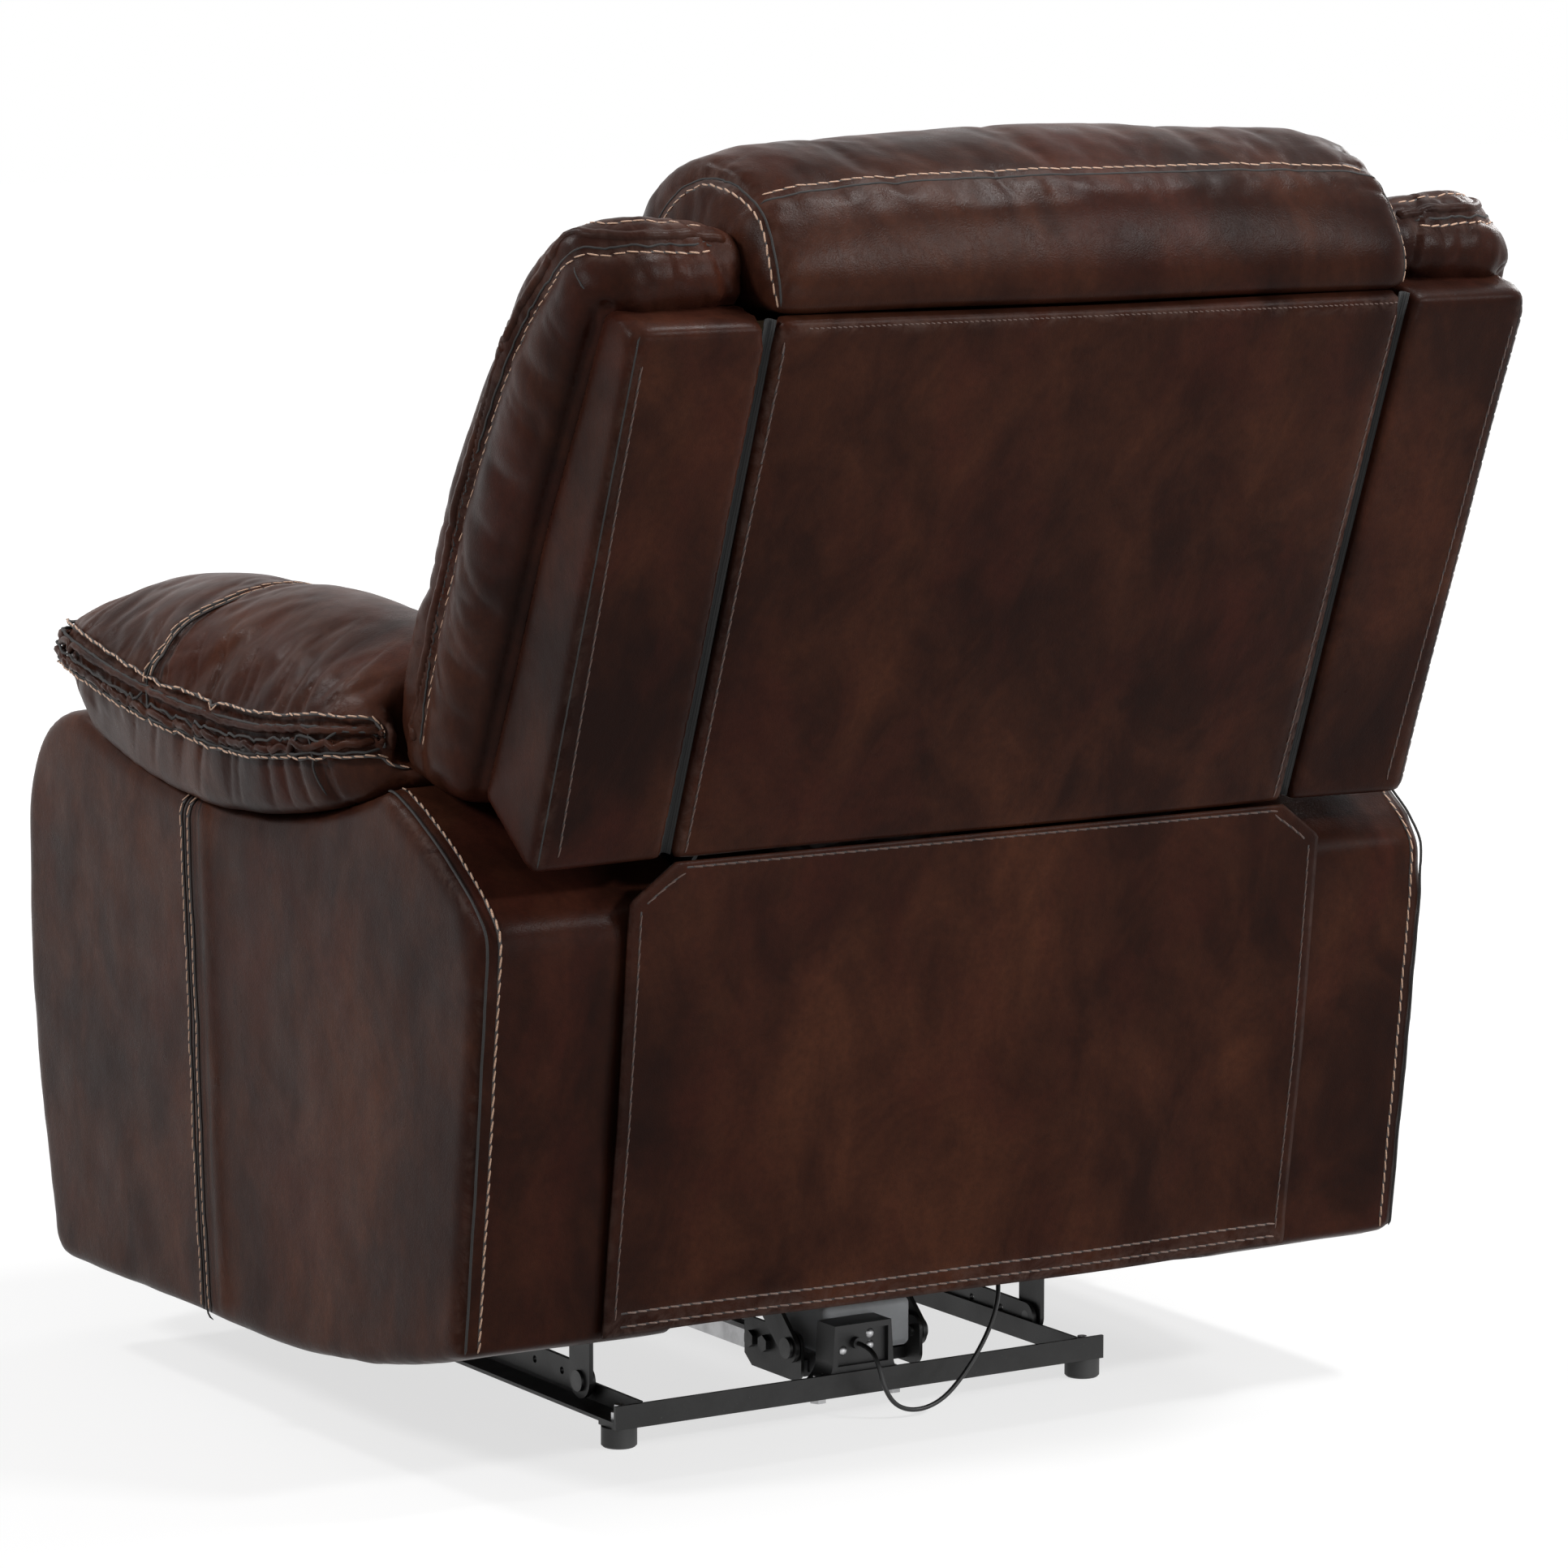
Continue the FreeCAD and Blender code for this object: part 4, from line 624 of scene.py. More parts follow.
# Lighter tone along lines: rubbed wear plus a painted sheen highlight.
def edge_wear_and_sheen(obj, lines, width=0.007):
    co = coords(obj.data)
    value = np.zeros(len(co))
    for line in lines:
        dist, _ = near_line(co, line, width * 3)
        value = np.maximum(value, np.exp(-(dist / width) ** 2))
    set_wear_and_sheen(obj, value)


def lumps(obj, height, scale, seed=0.0, keep_flat=None):
    """Soft unevenness of the stuffing under the leather."""
    co, no = coords(obj.data), normals(obj.data)
    shift = Vector((seed * 3.7, seed * 1.9, seed * 5.3))
    move = np.array([noise.noise(Vector(p) * scale + shift) for p in co]) * height
    if keep_flat is not None:
        move *= keep_flat(co)
    put(obj.data, co + no * move[:, None])


def stitch_shape():
    """One thread stitch along +X: half length 1, radius 1, its ends turned aside."""
    rings = ((-0.97, 0.55), (-0.62, 0.96), (0.0, 1.0), (0.62, 0.96), (0.97, 0.55))
    n = 6
    verts, faces = [], []
    for x, r in rings:
        bow = -0.75 * math.sin(x * math.pi * 0.5) ** 3
        for k in range(n):
            a = 2 * math.pi * k / n
            verts.append((x, r * math.cos(a) + bow, r * math.sin(a)))
    tips = len(verts)
    verts += [(-1.06, 0.85, -0.6), (1.06, -0.85, -0.6)]
    for i in range(len(rings) - 1):
        for k in range(n):
            p, q = i * n + k, i * n + (k + 1) % n
            faces.append((p, q, q + n, p + n))
    last = (len(rings) - 1) * n
    for k in range(n):
        faces.append((tips, (k + 1) % n, k))
        faces.append((tips + 1, last + k, last + (k + 1) % n))
    return np.array(verts), faces


STITCH = stitch_shape()


def stitches(name, obj, line, mat="tan", pitch=0.0101, length=0.0086, radius=0.00078):
    """Row of thread stitches on a surface, each a little aslant as sewn ones are."""
    unit, faces = STITCH
    tree = bvh_of(obj)
    step = 0.0007
    pts = densify(on_surface(tree, densify(line, step)[::5]), step)
    half = int(length / 2 / step)
    verts, polys = [], []
    for i in range(int(len(pts) * step / pitch)):
        mid = int((i + 0.5) * pitch / step)
        a, b = max(0, mid - half), min(len(pts) - 1, mid + half)
        way = pts[b] - pts[a]
        size = np.linalg.norm(way)
        if size < length * 0.5:
            continue
        way /= size
        hit = tree.find_nearest(Vector(pts[min(mid, len(pts) - 1)]))
        up = np.array(hit[1])
        side = np.cross(up, way)
        side /= max(np.linalg.norm(side), 1e-9)
        up = np.cross(way, side)
        place = np.array(hit[0]) + up * radius * 0.25
        base = len(verts)
        for v in unit:
            verts.append(place + way * v[0] * length / 2 + side * v[1] * radius
                         + up * v[2] * radius * 0.7)
        polys += [tuple(base + k for k in f) for f in faces]
    return mesh_object(name, verts, polys, mat)


def strand(name, obj, line, radius=0.0009, mat="crease", sink=0.3, step=0.004, sides=8):
    """Thin tube laid on a surface: a dark one painted in a seam as the shade of its crevice, or a welt.
    """
    tree = bvh_of(obj)
    pts = densify(on_surface(tree, densify(line, step)), step)
    verts, faces = [], []
    for i, p in enumerate(pts):
        way = pts[min(i + 1, len(pts) - 1)] - pts[max(i - 1, 0)]
        way /= max(np.linalg.norm(way), 1e-9)
        up = np.array(tree.find_nearest(Vector(p))[1])
        side = np.cross(up, way)
        side /= max(np.linalg.norm(side), 1e-9)
        up = np.cross(way, side)
        end = 0.35 if i in (0, len(pts) - 1) else 1.0
        for k in range(sides):
            a = 2 * math.pi * k / sides
            verts.append(p - up * radius * sink
                         + (side * math.cos(a) + up * math.sin(a)) * radius * end)
    n = len(pts)
    for i in range(n - 1):
        for k in range(sides):
            a, b = i * sides + k, i * sides + (k + 1) % sides
            faces.append((a, b, b + sides, a + sides))
    faces.append(tuple(range(sides))[::-1])
    faces.append(tuple((n - 1) * sides + k for k in range(sides)))
    tube = mesh_object(name, verts, faces, mat)
    # welts get an even share of the lighter tone: rubbed wear and painted sheen
    if mat.startswith("leather"):
        set_wear_and_sheen(tube, np.full(len(verts), 0.35))
    return tube


LEATHER_STIFFNESS = 12.0


def puff(obj, held, pressure, grow, frames, cap):
    """Cloth simulation: the cover swells between its held seams, then is applied."""
    start = coords(obj.data)
    group = obj.vertex_groups.new(name="held")
    group.add([int(i) for i in np.where(held > 0.5)[0]], 1.0, "REPLACE")
    mod = obj.modifiers.new("cloth", "CLOTH")
    cloth = mod.settings
    cloth.quality = 4
    cloth.mass = 0.3
    cloth.tension_stiffness = LEATHER_STIFFNESS
    cloth.compression_stiffness = LEATHER_STIFFNESS
    cloth.shear_stiffness = LEATHER_STIFFNESS * 0.4
    cloth.bending_stiffness = 0.35
    cloth.vertex_group_mass = "held"
    cloth.use_pressure = True
    cloth.uniform_pressure_force = pressure
    cloth.shrink_min = -grow
    cloth.effector_weights.gravity = 0.0
    mod.collision_settings.use_collision = False
    for f in range(1, frames + 1):
        SCENE.frame_set(f)
    deps = bpy.context.evaluated_depsgraph_get()
    done = bpy.data.meshes.new_from_object(obj.evaluated_get(deps))
    end = coords(done)
    obj.modifiers.clear()
    bpy.data.meshes.remove(done)
    move = end - start
    size = np.linalg.norm(move, axis=1)
    scale = np.minimum(1.0, cap / np.maximum(size, 1e-9))
    put(obj.data, start + move * scale[:, None])
    SCENE.frame_set(1)


MIRRORED = []
WIDE_PIECES = ("arm_cover", "arm_seam", "arm_edge", "arm_pad", "pad_")
WIDE_BY, WIDE_FROM, WIDE_RAMP = 0.0105, 0.395, 0.048


def widened(obj):
    """Moves the outer side of a left arm or arm pad piece outwards."""
    co = coords(obj.data)
    co[:, 0] += WIDE_BY * np.clip((co[:, 0] - WIDE_FROM) / WIDE_RAMP, 0, 1)
    put(obj.data, co)


def placed(obj, body, nodes=(), fill=None):
    """Rides a piece on its body; a left-hand one is noted for its right-hand twin."""
    if obj.name.startswith(WIDE_PIECES) and "left" in obj.name:
        widened(obj)
    if "wear" not in obj.data.attributes:
        set_wear_and_sheen(obj, np.zeros(len(obj.data.vertices)))
    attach(obj, body)
    if nodes:
        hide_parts(*nodes)
    if "left" in obj.name:
        MIRRORED.append((obj, body, nodes, fill))
    return obj


def make_right_side():
    """Mirrors every left-hand piece across the middle plane."""
    for obj, body, nodes, fill in list(MIRRORED):
        mesh = obj.data.copy()
        co = coords(mesh)
        co[:, 0] *= -1
        put(mesh, co)
        mesh.flip_normals()
        if obj.name.startswith(("arm_cover", "arm_seam")):
            press_switch_well(mesh)
        twin = bpy.data.objects.new(obj.name.replace("left", "right"), mesh)
        SCENE.collection.objects.link(twin)
        placed(twin, body, [n.replace("left", "right") for n in nodes], fill)


WELL_MARGIN, WELL_DEPTH, WELL_FROM = 0.004, 0.006, -0.440
PLATE_MARGIN, PLATE_RAMP, PLATE_FROM = 0.006, 0.035, -0.430


def press_switch_well(mesh):
    """Takes the cover back to the switch plate, with a recess behind the two buttons."""
    lo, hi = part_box("button_down")[0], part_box("button_up")[1]
    co = coords(mesh)
    plate_lo, plate_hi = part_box("switch_plate")
    beyond = [np.maximum(np.maximum(plate_lo[k] - co[:, k], co[:, k] - plate_hi[k]), 0) for k in (1, 2)]
    near = np.clip(1 - (np.hypot(*beyond) - PLATE_MARGIN) / PLATE_RAMP, 0, 1)
    outer = co[:, 0] < PLATE_FROM
    co[outer, 0] += (WIDE_BY * near * near * (3 - 2 * near))[outer]
    inside = co[:, 0] < WELL_FROM
    for k in (1, 2):
        inside &= (co[:, k] > lo[k] - WELL_MARGIN) & (co[:, k] < hi[k] + WELL_MARGIN)
    co[inside, 0] += WELL_DEPTH
    put(mesh, co)


def metres(points):
    return [tuple(c / 1000 for c in point) for point in points]


def side_line(x, points):
    """Line in a plane of constant x from (y, z) points in millimetres."""
    return [(x, y / 1000, z / 1000) for y, z in points]


# size of the dark tube under stitch rows that paints their shade
STITCH_SHADE_RADIUS, STITCH_SHADE_SINK, STITCH_SHADE_STEP, STITCH_SHADE_SIDES = 0.0015, 0.83, 0.005, 6


def sewn(name, obj, line, body, thread_name="tan"):
    """Stitch row on a dark band that paints the shade of the dent its tight thread pulls into the
    leather.
    """
    bed = strand(f"{name}_bed", obj, line, STITCH_SHADE_RADIUS, "bed", STITCH_SHADE_SINK, STITCH_SHADE_STEP, STITCH_SHADE_SIDES)
    placed(bed, body)
    placed(stitches(f"{name}_thread", obj, line, thread_name), body)


# Dark tube along a seam: painted shade in its crevice.
def seam_line(name, obj, line, body, radius=0.0010, sink=0.25):
    placed(strand(f"{name}_crease", obj, line, radius, "crease", sink), body)


def held_near(obj, lines, reach=0.0055):
    """1 at the vertices beside any of the lines, 0 elsewhere."""
    co = coords(obj.data)
    held = np.zeros(len(co))
    for line in lines:
        dist, _ = near_line(co, line, 0.02)
        held = np.maximum(held, np.where(dist < reach, 1.0, 0.0))
    return held


# Arms
ARM_EDGE = [(302, 131), (319, 245), (333, 362), (343, 440), (343, 466), (331, 482), (309, 499),
            (268, 526), (228, 550), (196, 563), (176, 566)]
ARM_CREASE_X, ARM_STITCH_X = 0.4425, 0.4330
ARM_SIDE_X, ARM_ROLL_X = 0.452, 0.449
ARM_SEAM = [(-141, 530), (-134, 400), (-124, 240), (-112, 77)]
ROW_GAP = 0.0070


def make_arm():
    arm = remeshed(["arm_left"], "arm_cover_left", 0.0055, 2)
    soften(arm, 0.343, 0.466, 0.038)
    lumps(arm, 0.0022, 5.0, 1.0)
    lumps(arm, 0.0007, 22.0, 2.0)
    seam = densify(side_line(ARM_SIDE_X, ARM_SEAM))
    crease = densify(side_line(ARM_CREASE_X, ARM_EDGE))
    groove(arm, seam, 0.0010, 0.0040)
    groove(arm, crease, 0.0014, 0.0045, [(0.0008, 0.020, 0.022, 3)])
    roll = densify(side_line(ARM_ROLL_X, [(y - 4, z - 2) for y, z in ARM_EDGE]))
    # lighter band on the arm's roll: rubbed wear and a painted highlight
    edge_wear_and_sheen(arm, [roll], 0.006)
    placed(arm, "seat", ["arm_left"])
    for k, shift in enumerate((-ROW_GAP, ROW_GAP)):
        row = [(x, y + shift, z) for x, y, z in seam[2:-2:12]]
        sewn(f"arm_seam_left_{k}", arm, row, "seat")
    seam_line("arm_seam_left", arm, seam[::6], "seat", 0.0008, 0.55)
    seam_line("arm_edge_left", arm, crease[::6], "seat", 0.0010, 0.3)
    sewn("arm_edge_left", arm, side_line(ARM_STITCH_X, ARM_EDGE), "seat")


# Arm pads
PAD_X = 0.368
PAD_ROWS = [
    # y, half width, lower seam, upper seam (mm)
    (-398, 46, 622, 636), (-376, 82, 614, 638), (-320, 99, 608, 634), (-220, 104, 593, 618),
    (-100, 106, 581, 606), (20, 106, 577, 602), (110, 99, 586, 609), (150, 84, 590, 611),
    (186, 60, 594, 612),
]


PAD_CROSS_Y = -0.152
PAD_CROSS = [(0.104, -0.012, 0.612), (0.08, -0.004, 0.655), (0.03, 0, 0.684), (-0.03, 0, 0.684),
             (-0.08, -0.004, 0.655), (-0.104, -0.012, 0.612)]


def pad_ring(which):
    """Seam round the pad from its outer rear end, over the nose, to its inner rear end."""
    outer = [(PAD_X + r[1] / 1000, r[0] / 1000, r[which] / 1000) for r in reversed(PAD_ROWS)]
    inner = [(PAD_X - r[1] / 1000, r[0] / 1000, r[which] / 1000) for r in PAD_ROWS]
    nose = [(PAD_X, -0.406, PAD_ROWS[0][which] / 1000)]
    return densify(outer + nose + inner)


def make_arm_pad():
    pad = remeshed(["arm_pad_left"], "arm_pad_cover_left", 0.0050, 9, swell=0.0016)
    high, low = pad_ring(3), pad_ring(2)
    cross = densify([(PAD_X + a, PAD_CROSS_Y + b, c) for a, b, c in PAD_CROSS])
    dart = densify([(PAD_X + 0.101, 0.112, 0.604), (PAD_X + 0.100, 0.116, 0.575),
                    (PAD_X + 0.088, 0.124, 0.548)])
    held = held_near(pad, [high, low, cross])
    held = np.where(coords(pad.data)[:, 2] < 0.575, 1.0, held)
    puff(pad, held, 3.5, 0.020, 18, 0.007)
    relax(pad.data, 2)
    refined(pad)
    groove(pad, cross, 0.0016, 0.0050,
           [(0.0028, 0.040, 0.026, 11), (0.0010, 0.018, 0.013, 12)])
    groove(pad, high, 0.0022, 0.0040,
           [(0.0070, 0.056, 0.020, 21), (0.0024, 0.026, 0.011, 22)])
    groove(pad, low, 0.0016, 0.0038, [(0.0008, 0.022, 0.024, 31)])
    groove(pad, dart, 0.0024, 0.0045, [(0.0022, 0.030, 0.012, 33)])
    edge_wear_and_sheen(pad, [high], 0.009)
    placed(pad, "seat", ["arm_pad_left"], fill=0.7)

    def lifted(line, by):
        return [(a, b, c + by) for a, b, c in line[::8]]
    sewn("pad_upper_left", pad, lifted(high, 0.006), "seat")
    sewn("pad_lower_left", pad, lifted(low, -0.003), "seat")
    seam_line("pad_upper_left", pad, lifted(high, -0.002), "seat", 0.0014)
    seam_line("pad_lower_left", pad, lifted(low, 0.004), "seat", 0.0011)
    seam_line("pad_middle_left", pad, lifted(low, 0.0125), "seat", 0.0011)
    seam_line("pad_dart_left", pad, dart[::6], "seat", 0.0009)
    for k, up in enumerate((0.0085, 0.0165)):
        welt = strand(f"pad_welt_left_{k}", pad, lifted(low, up), 0.0034, "leather", 0.45)
        placed(welt, "seat")
    seam_line("pad_cross_left", pad, cross[::6], "seat", 0.0009)
    for k, shift in enumerate((-0.0065, 0.0065)):
        row = [(a, b + shift, c) for a, b, c in cross[3:-3:8]]
        sewn(f"pad_cross_left_{k}", pad, row, "seat")


# Back bolsters
BOLSTER_ROW = [
    (429, 203, 600), (431, 213, 647), (432, 231, 694), (432, 251, 741), (432, 275, 793),
    (432, 301, 840), (432, 322, 875), (432, 349, 914), (431, 383, 952), (428, 420, 979),
    (416, 455, 994), (395, 470, 998), (370, 472, 997), (340, 471, 995), (316, 469, 991),
]
BOLSTER_WELT = [
    (424, 190, 602), (427, 200, 650), (428, 219, 698), (428, 240, 746), (428, 263, 799),
    (428, 289, 847), (428, 310, 882), (427, 338, 922), (425, 372, 961), (420, 408, 989),
    (408, 442, 1003), (392, 462, 1007), (370, 466, 1008), (340, 465, 1006), (316, 463, 1002),
]
BOLSTER_RIM = [
    (398, 150, 604), (404, 163, 660), (404, 196, 735), (404, 240, 818), (404, 282, 888),
    (404, 330, 948), (406, 372, 992), (408, 412, 1010), (404, 440, 1015), (386, 452, 1018),
    (350, 454, 1018), (318, 452, 1014),
]


def make_bolster():
    """Long roll in front of the wing; its end rises above the wing's top edge."""
    cuts = [((0, 0.4760, 1.0), (0, 1, 0)), ((0, 0.468, 1.006), (0, 0.62, 0.78)),
            ((0.426, 0.457, 1.0), (0.66, 0.75, 0)), ((0.428, 0.430, 1.003), (0.50, 0.42, 0.76)),
            ((0.430, 0.400, 1.000), (0.60, 0.0, 0.80))]
    piece = remeshed(["bolster_left"], "bolster_cover_left", 0.0052, 10, cuts=cuts, swell=0.0016)
    row, rim = densify(metres(BOLSTER_ROW)), densify(metres(BOLSTER_RIM))
    edge = densify(side_line(0.425, [(276, 568), (378, 793), (463, 955)]))
    across = densify([(0.425, 0.472, 0.959), (0.31, 0.472, 0.959)])
    dart = densify([(0.426, 0.446, 0.984), (0.424, 0.455, 0.973), (0.420, 0.470, 0.962)])
    held = held_near(piece, [row, rim, edge], 0.006)
    co = coords(piece.data)
    wing_y = np.interp(co[:, 2], [0.568, 0.793, 0.959], [0.276, 0.378, 0.466])
    inside = (co[:, 1] > wing_y - 0.004) & (co[:, 2] < 0.956)
    held = np.where(inside | (co[:, 0] < 0.308), 1.0, held)
    puff(piece, held, 4.0, 0.025, 18, 0.009)
    relax(piece.data, 2)
    refined(piece)
    bulge(piece, row, edge, 0.0075, 0.10)
    groove(piece, row, 0.0026, 0.0042,
           [(0.0075, 0.055, 0.034, 51), (0.0018, 0.020, 0.012, 52)])
    groove(piece, edge, 0.0022, 0.0070, [(0.0050, 0.045, 0.042, 55)])
    groove(piece, across, 0.0016, 0.0050, [(0.0075, 0.024, 0.016, 58), (0.0030, 0.016, 0.009, 59)])
    groove(piece, rim, 0.0020, 0.0040, [(0.0016, 0.025, 0.018, 53)])
    groove(piece, dart, 0.0030, 0.0045, [(0.0030, 0.026, 0.014, 57)])
    edge_wear_and_sheen(piece, [row, rim], 0.009)
    placed(piece, "back", ["bolster_left"], fill=0.7)
    sewn("bolster_left", piece, row[::8], "back")
    welt_line = densify(metres(BOLSTER_WELT))
    match = np.linspace(0, len(welt_line) - 1, len(row)).astype(int)
    between = (row + welt_line[match]) / 2
    seam_line("bolster_left", piece, between[::8], "back")
    seam_line("bolster_dart_left", piece, dart[::6], "back", 0.0008)
    welt = strand("bolster_welt_left", piece, metres(BOLSTER_WELT), 0.0052, "leather", 0.45)
    placed(welt, "back")
    sewn("bolster_rim_left", piece, rim[::8], "back")


# Wings and rear panel
def make_wing():
    wing = remeshed(["wing_left"], "wing_cover_left", 0.0050, 2)
    soften(wing, 0.512, 0.944, 0.020, 10)
    lumps(wing, 0.0018, 6.0, 5.0)
    rear = densify([(0.399, 0.358, 0.522), (0.405, 0.436, 0.735), (0.410, 0.511, 0.937)])
    edge = densify([(0.4165, 0.355, 0.518), (0.4165, 0.437, 0.738), (0.4165, 0.513, 0.942)])
    groove(wing, edge, 0.0012, 0.0035)
    edge_wear_and_sheen(wing, [edge], 0.005)
    placed(wing, "back", ["wing_left"])
    seam_line("wing_left", wing, edge[::8], "back", 0.0008, 0.4)
    sewn("wing_left", wing, rear[3:-2:8], "back", "brown")


LINING_X, LINING_HALF, LINING_DEPTH, LINING_THICK = 0.298, 0.0056, 0.0080, 0.0012
LINING_LOW, LINING_HIGH = (0, 0.3545, 0.5190), (0, 0.5115, 0.9440)
LINING_FOLD = ((-1.0, 0.0), (-0.5, 0.0035), (0.0, 0.0045), (0.5, 0.0035), (1.0, 0.0))


def make_gap_lining(steps=40):
    """Lining that closes the seam between each wing and the rear panel."""
    low, high = Vector(LINING_LOW), Vector(LINING_HIGH)
    along = (high - low).normalized()
    ahead = Vector((0, -along.z, along.y))
    verts, faces = [], []
    for i in range(steps + 1):
        base = low.lerp(high, i / steps)
        for across, deeper in LINING_FOLD:
            p = base + ahead * (LINING_DEPTH + deeper)
            verts.append((LINING_X + LINING_HALF * across, p.y, p.z))
    n = len(LINING_FOLD)
    for i in range(steps):
        for k in range(n - 1):
            a = i * n + k
            faces.append((a, a + 1, a + n + 1, a + n))
    lining_piece = mesh_object("gap_lining_left", verts, faces, "lining")
    mod = lining_piece.modifiers.new("thick", "SOLIDIFY")
    mod.thickness = LINING_THICK
    smooth_shade(applied(lining_piece))
    placed(lining_piece, "back")


def make_back_panel():
    panel = remeshed(["back_panel"], "rear_panel_cover", 0.0050, 2)
    soften(panel, 0.512, 0.944, 0.018, 8)
    co, no = coords(panel.data), normals(panel.data)
    across = np.clip(1 - (co[:, 0] / 0.293) ** 4, 0, 1)
    up = np.clip((co[:, 2] - 0.517) / 0.43, 0.0, 1.0)
    crown = 0.0045 * across * np.sqrt(np.clip(np.sin(np.pi * up), 0, 1))
    rear = no[:, 1] > 0.5
    co[rear] += no[rear] * crown[rear][:, None]
    put(panel.data, co)
    lumps(panel, 0.0022, 4.0, 8.0, lambda c: (c[:, 1] > 0.34).astype(float))
    rows = []
    for side in (1, -1):
        rows.append(densify([(side * 0.284, 0.357, 0.522), (side * 0.285, 0.430, 0.720),
                             (side * 0.286, 0.505, 0.936)]))
    top = densify([(x, 0.512, 0.940) for x in (-0.288, -0.1, 0.1, 0.288)])
    for row in rows:
        groove(panel, row, 0.0010, 0.0045)
    edges = [densify([(s * 0.291, 0.357, 0.522), (s * 0.291, 0.430, 0.720), (s * 0.291, 0.505, 0.936)])
             for s in (1, -1)]
    edge_wear_and_sheen(panel, edges + [top], 0.005)
    placed(panel, "back", ["back_panel"])
    for k, row in enumerate(rows):
        sewn(f"panel_side_{k}", panel, row[::8], "back", "brown")
    placed(stitches("panel_top_thread", panel, top[::8], "brown", 0.0050, 0.0036, 0.0005), "back")


# Rear flap
FLAP_TOP, FLAP_LOW = 0.5165, 0.132


def flap_half(z):
    """Half width of the flap: full below, cut in at the top corners."""
    return np.interp(z, [FLAP_LOW, 0.487, FLAP_TOP], [0.3335, 0.3325, 0.293])


def flap_y(x, z):
    """Hang of the flap: its side-view line plus slow ripples that grow downwards."""
    hang = np.interp(z, [FLAP_LOW, 0.30, 0.47, FLAP_TOP], [0.3085, 0.3315, 0.3490, 0.3545])
    free = np.clip((0.50 - z) / 0.30, 0, 1)
    ripple = 0.0022 * np.sin(x * 11.0 + 1.0 + z * 5) + 0.0014 * np.sin(x * 23 - z * 9)
    return hang + ripple * free


def flap_mesh(rows=100, cols=160, thick=0.0022):
    """Thin slab: two even sheets of points joined round their rim."""
    z = np.linspace(FLAP_LOW, FLAP_TOP, rows)
    t = np.linspace(-1, 1, cols)
    verts = []
    for outer in (0, 1):
        for v in z:
            half = float(flap_half(v))
            sag = 0.0010 * (FLAP_TOP - v) / (FLAP_TOP - FLAP_LOW)
            for u in t:
                x = half * u
                rim = min(half - abs(x), v - FLAP_LOW)
                soft = 0.0009 * (1 - math.exp(-rim / 0.004))
                hem = 0.0012 * math.exp(-((v - FLAP_LOW - 0.010) / 0.010) ** 4)
                y = float(flap_y(x, v)) + outer * (thick + soft + hem)
                verts.append((x, y, v + sag * math.sin(x * 9)))
    faces = []
    n = rows * cols
    for i in range(rows - 1):
        for j in range(cols - 1):
            a = i * cols + j
            faces.append((a, a + 1, a + cols + 1, a + cols))
            faces.append((n + a, n + a + cols, n + a + cols + 1, n + a + 1))
    ring = list(range(cols)) + [i * cols + cols - 1 for i in range(1, rows)]
    ring += [(rows - 1) * cols + j for j in range(cols - 2, -1, -1)]
    ring += [i * cols for i in range(rows - 2, 0, -1)]
    for a, b in zip(ring, ring[1:] + ring[:1]):
        faces.append((a, n + a, n + b, b))
    mesh = bpy.data.meshes.new("rear_flap_cover")
    mesh.from_pydata(verts, [], faces)
    bm = bmesh.new()
    bm.from_mesh(mesh)
    bmesh.ops.recalc_face_normals(bm, faces=bm.faces)
    bm.to_mesh(mesh)
    bm.free()
    smooth_shade(mesh)
    return mesh


def make_flap():
    flap = new_object("rear_flap_cover", flap_mesh(), MAT["leather"])
    co = coords(flap.data)
    # lighter hem and sides: rubbed wear and a painted sheen
    hem_wear_and_sheen = np.exp(-((co[:, 2] - FLAP_LOW) / 0.016) ** 2)
    side_wear_and_sheen = np.exp(-((flap_half(co[:, 2]) - np.abs(co[:, 0])) / 0.004) ** 2) * 0.5
    set_wear_and_sheen(flap, np.maximum(hem_wear_and_sheen, side_wear_and_sheen))
    lines = {}
    for s, tag in ((1, "left"), (-1, "right")):
        zs = np.linspace(FLAP_LOW + 0.014, 0.484, 30)
        lines[f"flap_side_{tag}"] = [(s * (float(flap_half(z)) - 0.010), z) for z in zs]
        lines[f"flap_corner_{tag}"] = [(s * x, z)
                                       for x, z in ((0.284, 0.508), (0.303, 0.496), (0.322, 0.482))]
    for k, up in enumerate((0.008, 0.019)):
        lines[f"flap_hem_{k}"] = [(x, FLAP_LOW + up) for x in np.linspace(-0.323, 0.323, 60)]
    lines["flap_top"] = [(x, 0.5115) for x in np.linspace(-0.288, 0.288, 60)]
    made = [flap]
    for name, line in lines.items():
        flat = [(x, float(flap_y(x, z)) + 0.004, z) for x, z in line]
        # dark tube under each row: painted shade of the stitches' dent
        made.append(strand(f"{name}_bed", flap, flat, STITCH_SHADE_RADIUS, "bed", STITCH_SHADE_SINK, STITCH_SHADE_STEP, STITCH_SHADE_SIDES))
        made.append(stitches(f"{name}_thread", flap, flat, "taupe" if "hem" in name else "brown"))
    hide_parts("rear_flap")
    for piece in made:
        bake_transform(piece)


# Headrest
GUSSET_X, GUSSET_CENTRE, GUSSET_ROW = 0.297, (0.3, 0.42, 0.965), 0.008
GUSSET = [(519, 950), (514, 975), (506, 999), (494, 1023), (472, 1039), (447, 1047), (414, 1050),
          (384, 1041), (360, 1025), (335, 1000), (305, 962), (296, 930)]
CROWN = [
    (-0.305, 1.046), (-0.285, 1.065), (-0.25, 1.0765), (-0.20, 1.080), (-0.10, 1.084), (0.0, 1.0835),
    (0.10, 1.081), (0.20, 1.077), (0.25, 1.073), (0.285, 1.064), (0.305, 1.046),
]


